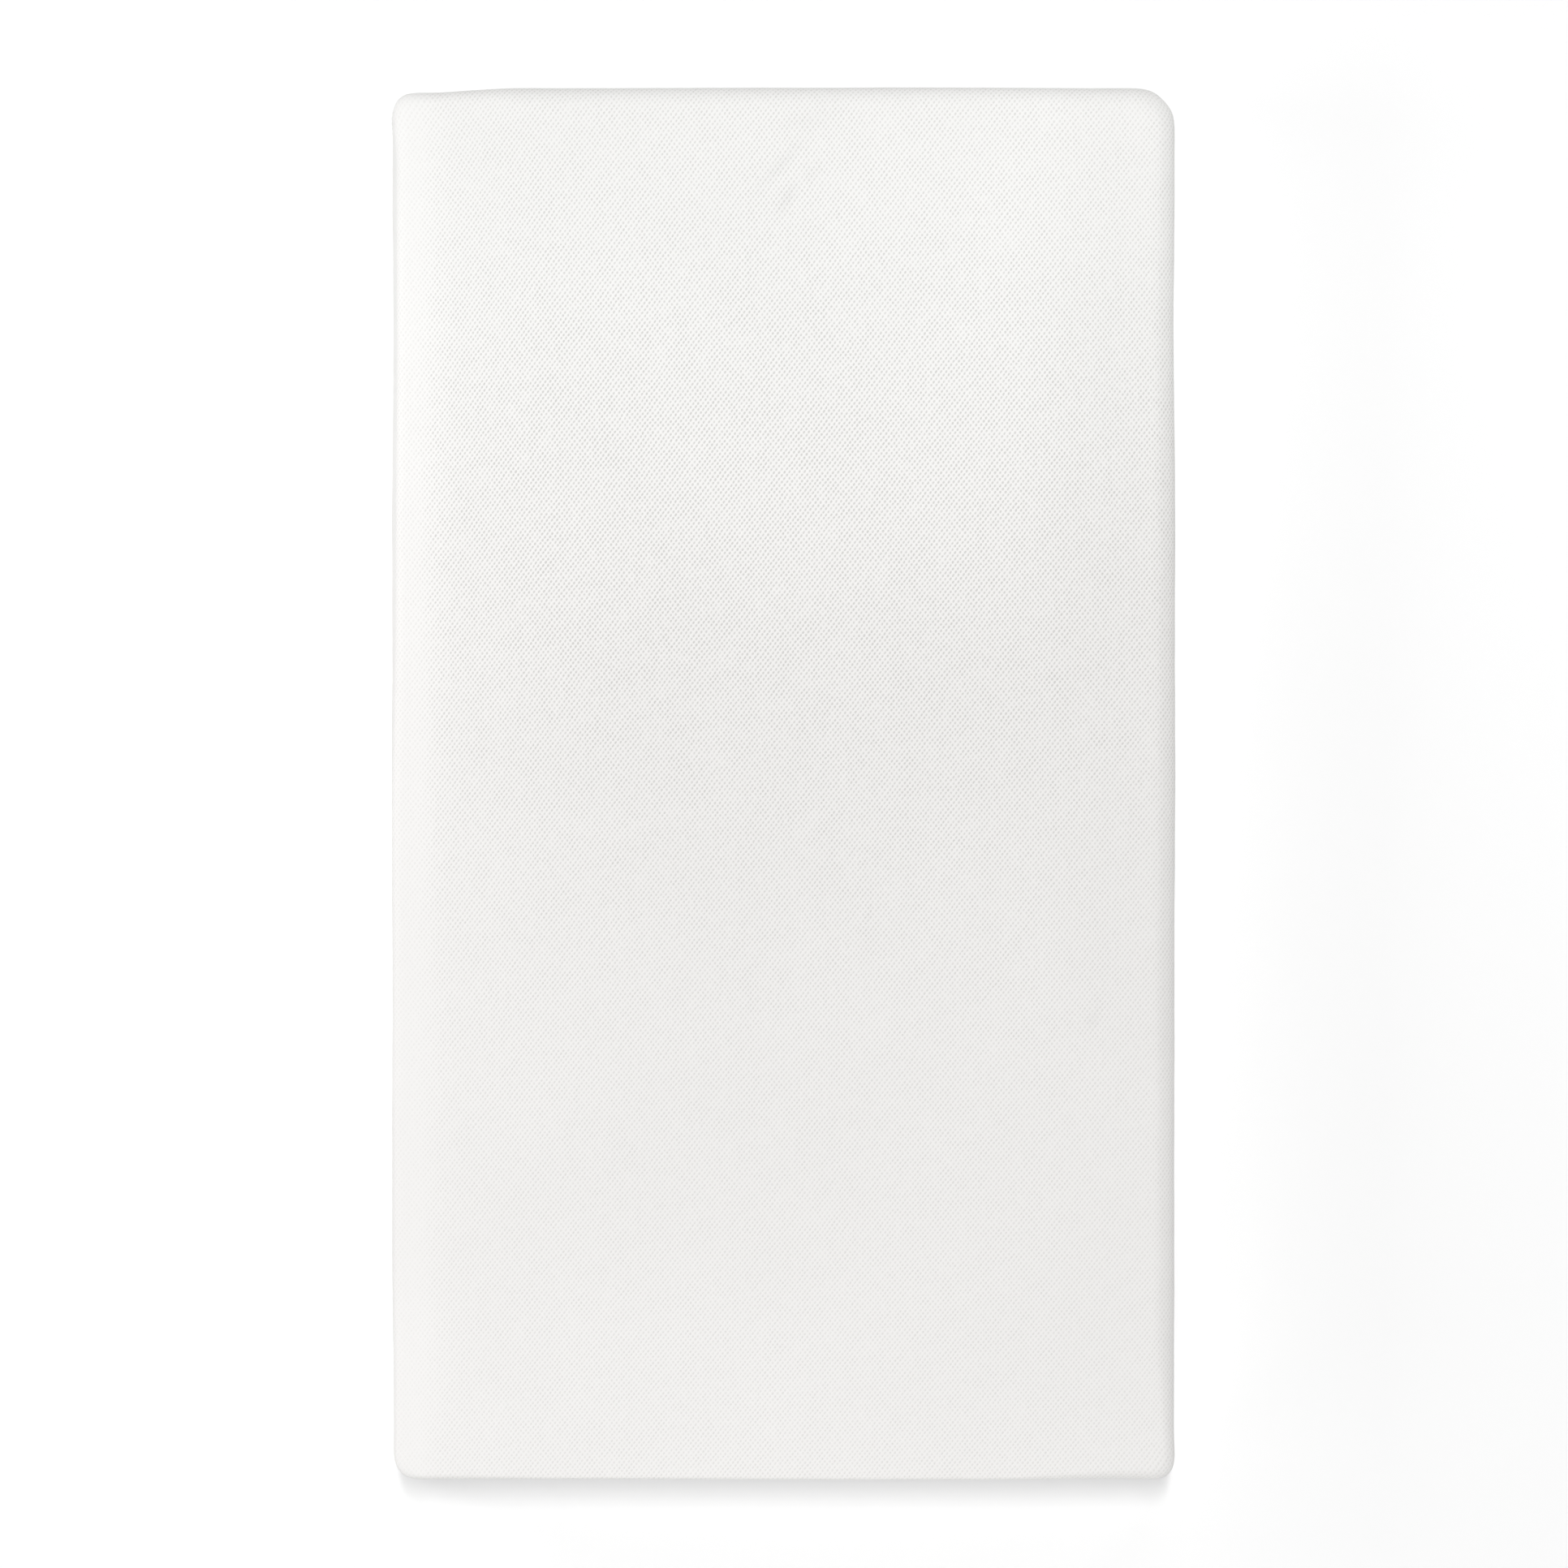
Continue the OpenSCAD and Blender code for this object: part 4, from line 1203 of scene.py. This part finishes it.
sock = block("knitted_sock", sock_w, sock_l, R_PLAN - WALL - GAP, inner_shift,
             lambda x, y: max(0.002, top_edge(x, y) - 0.0042), sock_high, sock_low, 0.006, "sock")
fit_inside(sock, top, 0.0004, UPPER_SEAM + 0.004)
foam_w, foam_l = sock_w - 0.002, sock_l - 0.002 - 0.0012
foam_corner = R_PLAN - WALL - GAP - 0.001
foam_shift = inner_shift - 0.0006
foam_low, foam_high = sock_low + 0.001, sock_high - 0.001
split = foam_high - 0.040
modifier(sock, "SOLIDIFY", thickness=0.0007, offset=-1)
apply_all(sock)
comfort = block("memory_foam_layer", foam_w, foam_l, foam_corner, foam_shift,
                lambda x, y: max(0.002, top_edge(x, y) - 0.0052), foam_high, split, 0.0, "memory")
fit_inside(comfort, sock, 0.0003, split + 0.004)
core = block("support_foam_core", foam_w, foam_l, foam_corner, foam_shift, lambda x, y: 0.0012, split - 0.0001,
             foam_low, 0.005, "support")
for piece, nodes, slot in ((sock, "inner_sock", "sock_knit"), (comfort, "memory_foam", "memory_foam"),
                           (core, "support_foam", "support_foam")):
    settle(piece, [nodes])

seam_y = inner_shift + sock_l / 2 - 0.0008 - 0.0006
xs = np.arange(-sock_w / 2 + 0.024, sock_w / 2 - 0.024, 0.0045)
zigzag = split + 0.0015 + 0.0004 * np.where(np.arange(len(xs)) % 2, 1, -1)
overlock = straight_stitches("sock_overlock", xs, seam_y, zigzag, 1.0, 0.0044, 0.00045, tilt=0.5)
tape_xs = np.linspace(-sock_w / 2 + 0.0228, sock_w / 2 - 0.0228, 80)
edge = sweep("sock_edge", *straight(tape_xs, seam_y, 1.0),
             [(-0.0003, split + 0.0002), (0.0002, split + 0.0002), (0.0003, split + 0.0015),
              (0.0002, split + 0.0028), (-0.0003, split + 0.0028)],
             "sock", closed=False, warped=False, caps=True)
settle(merge("sock_closing_seam", [edge, overlock]), ["sock_end_seam"])


def label():
    """A short folded ribbon caught in the upper seam, lying against the right-hand wall."""
    y0, width = FOOT + 0.130, 0.032
    high, low = band_high + 0.0006, band_high - 0.030
    rows, cols = 22, 12
    verts, uv = [], []
    half_t = 0.00012
    for i in range(rows):
        v = i / (rows - 1)
        for j in range(cols):
            u = j / (cols - 1)
            lift = 0.0005 + 0.0016 * v * v + 0.0007 * v * math.sin(u * 3.1 + 0.4)
            verts.append((W / 2 + lift + 0.0004, y0 + width * u, high + (low - high) * v))
            uv.append((u * width, v * (high - low)))
    back = [(x - 2 * half_t - 0.0003 * (1 - abs(2 * (k // cols) / (rows - 1) - 1)), y, z)
            for k, (x, y, z) in enumerate(verts)]
    n = rows * cols
    faces = []
    for i in range(rows - 1):
        for j in range(cols - 1):
            a = i * cols + j
            faces.append((a, a + cols, a + cols + 1, a + 1))
            faces.append((n + a, n + a + 1, n + a + cols + 1, n + a + cols))
    edge = list(range(cols)) + [i * cols + cols - 1 for i in range(1, rows)]
    edge += [(rows - 1) * cols + j for j in range(cols - 2, -1, -1)] + [i * cols for i in range(rows - 2, 0, -1)]
    for i, a in enumerate(edge):
        b = edge[(i + 1) % len(edge)]
        faces.append((a, b, n + b, n + a))
    obj = make("blank_care_label", warp(np.array(verts + back)), faces, "label")
    every = np.array(uv + uv)
    set_uv(obj, "weave", np.array([every[v] for f in faces for v in f]))
    return settle(obj, ["care_label"])


tag = label()

# ---------------------------------------------------------------- floor, light, camera
floor_graph = Graph("studio_floor")
floor_tone = floor_graph.ramp(floor_graph.noise(1.2, 2.0), 0.3, 0.7, 0.555, 0.565, smooth=False)
floor_graph.finish(Base_Color=floor_graph.join(floor_tone, floor_tone, floor_tone), Roughness=0.9,
                   Specular_IOR_Level=0.1, Emission_Color=(1, 1, 1, 1), Emission_Strength=0.435)
MAT["floor"] = floor_graph.material
size = 40.0
floor = make("studio_floor", [(-size, -size, 0), (size, -size, 0), (size, size, 0), (-size, size, 0)],
             [(0, 1, 2, 3)], "floor", smooth=False)
floor.location.z = -0.0004

world = bpy.data.worlds.new("studio")
bpy.context.scene.world = world
world.use_nodes = True
sky = world.node_tree
height = sky.nodes.new("ShaderNodeSeparateXYZ")
fade = sky.nodes.new("ShaderNodeMapRange")
for socket, v in zip(fade.inputs[1:5], (0.02, 0.10, 0.78, 0.01)):
    socket.default_value = v
sky.links.new(sky.nodes.new("ShaderNodeTexCoord").outputs["Generated"], height.inputs[0])
sky.links.new(height.outputs[2], fade.inputs[0])
sky.links.new(fade.outputs[0], sky.nodes["Background"].inputs[1])
sky.nodes["Background"].inputs[0].default_value = (1, 1, 1, 1)


def lamp(name, kind, place, target, power, **values):
    """A light at a place, aimed at a target."""
    data = bpy.data.lights.new(name, kind)
    data.energy = power
    for key, value in values.items():
        setattr(data, key, value)
    obj = bpy.data.objects.new(name, data)
    obj.location = place
    obj.rotation_euler = (Vector(target) - Vector(place)).to_track_quat("-Z", "Y").to_euler()
    bpy.context.scene.collection.objects.link(obj)
    return obj


for i, (tilt, power) in enumerate(((5.0, 0.39), (8.4, 0.50), (11.7, 0.50), (15.0, 0.444))):
    t = math.radians(tilt)
    lamp("overhead_%d" % (i + 1), "SUN", (0, 10 * math.sin(t), 10 * math.cos(t)), (0, 0, 0), power,
         angle=math.radians(3.4))
for name, place, target, power in (
        ("left_fill", (-1.5, 0.35, 0.95), (-0.3, 0.30, 0.1), 9.3),
        ("left_foot_fill", (-1.3, -1.2, 0.9), (-0.25, -0.45, 0.1), 3.2),
        ("foot_fill", (0.3, -1.7, 0.9), (0.1, -0.55, 0.1), 6.3),
        ("upper_right_fill", (0.5, 0.8, 1.3), (0.22, 0.45, 0.1), 5.0),
        ("right_fill", (1.5, 0.2, 0.95), (0.3, 0.1, 0.1), 2.3)):
    lamp(name, "AREA", place, target, power, shape="RECTANGLE", size=0.9, size_y=0.5)

cam_data = bpy.data.cameras.new("camera")
cam = bpy.data.objects.new("camera", cam_data)
bpy.context.scene.collection.objects.link(cam)
bpy.context.scene.camera = cam
distance = 9.0
cam_data.sensor_width = 36.0
cam_data.lens = 36.0 * distance / 1.4178
cam.location = (0.0009, -0.0008, H + distance)
cam.rotation_euler = (0, 0, 0)
cam_data.clip_end = 100.0
bpy.context.scene.view_settings.view_transform = "Standard"
bpy.context.scene.view_settings.look = "None"
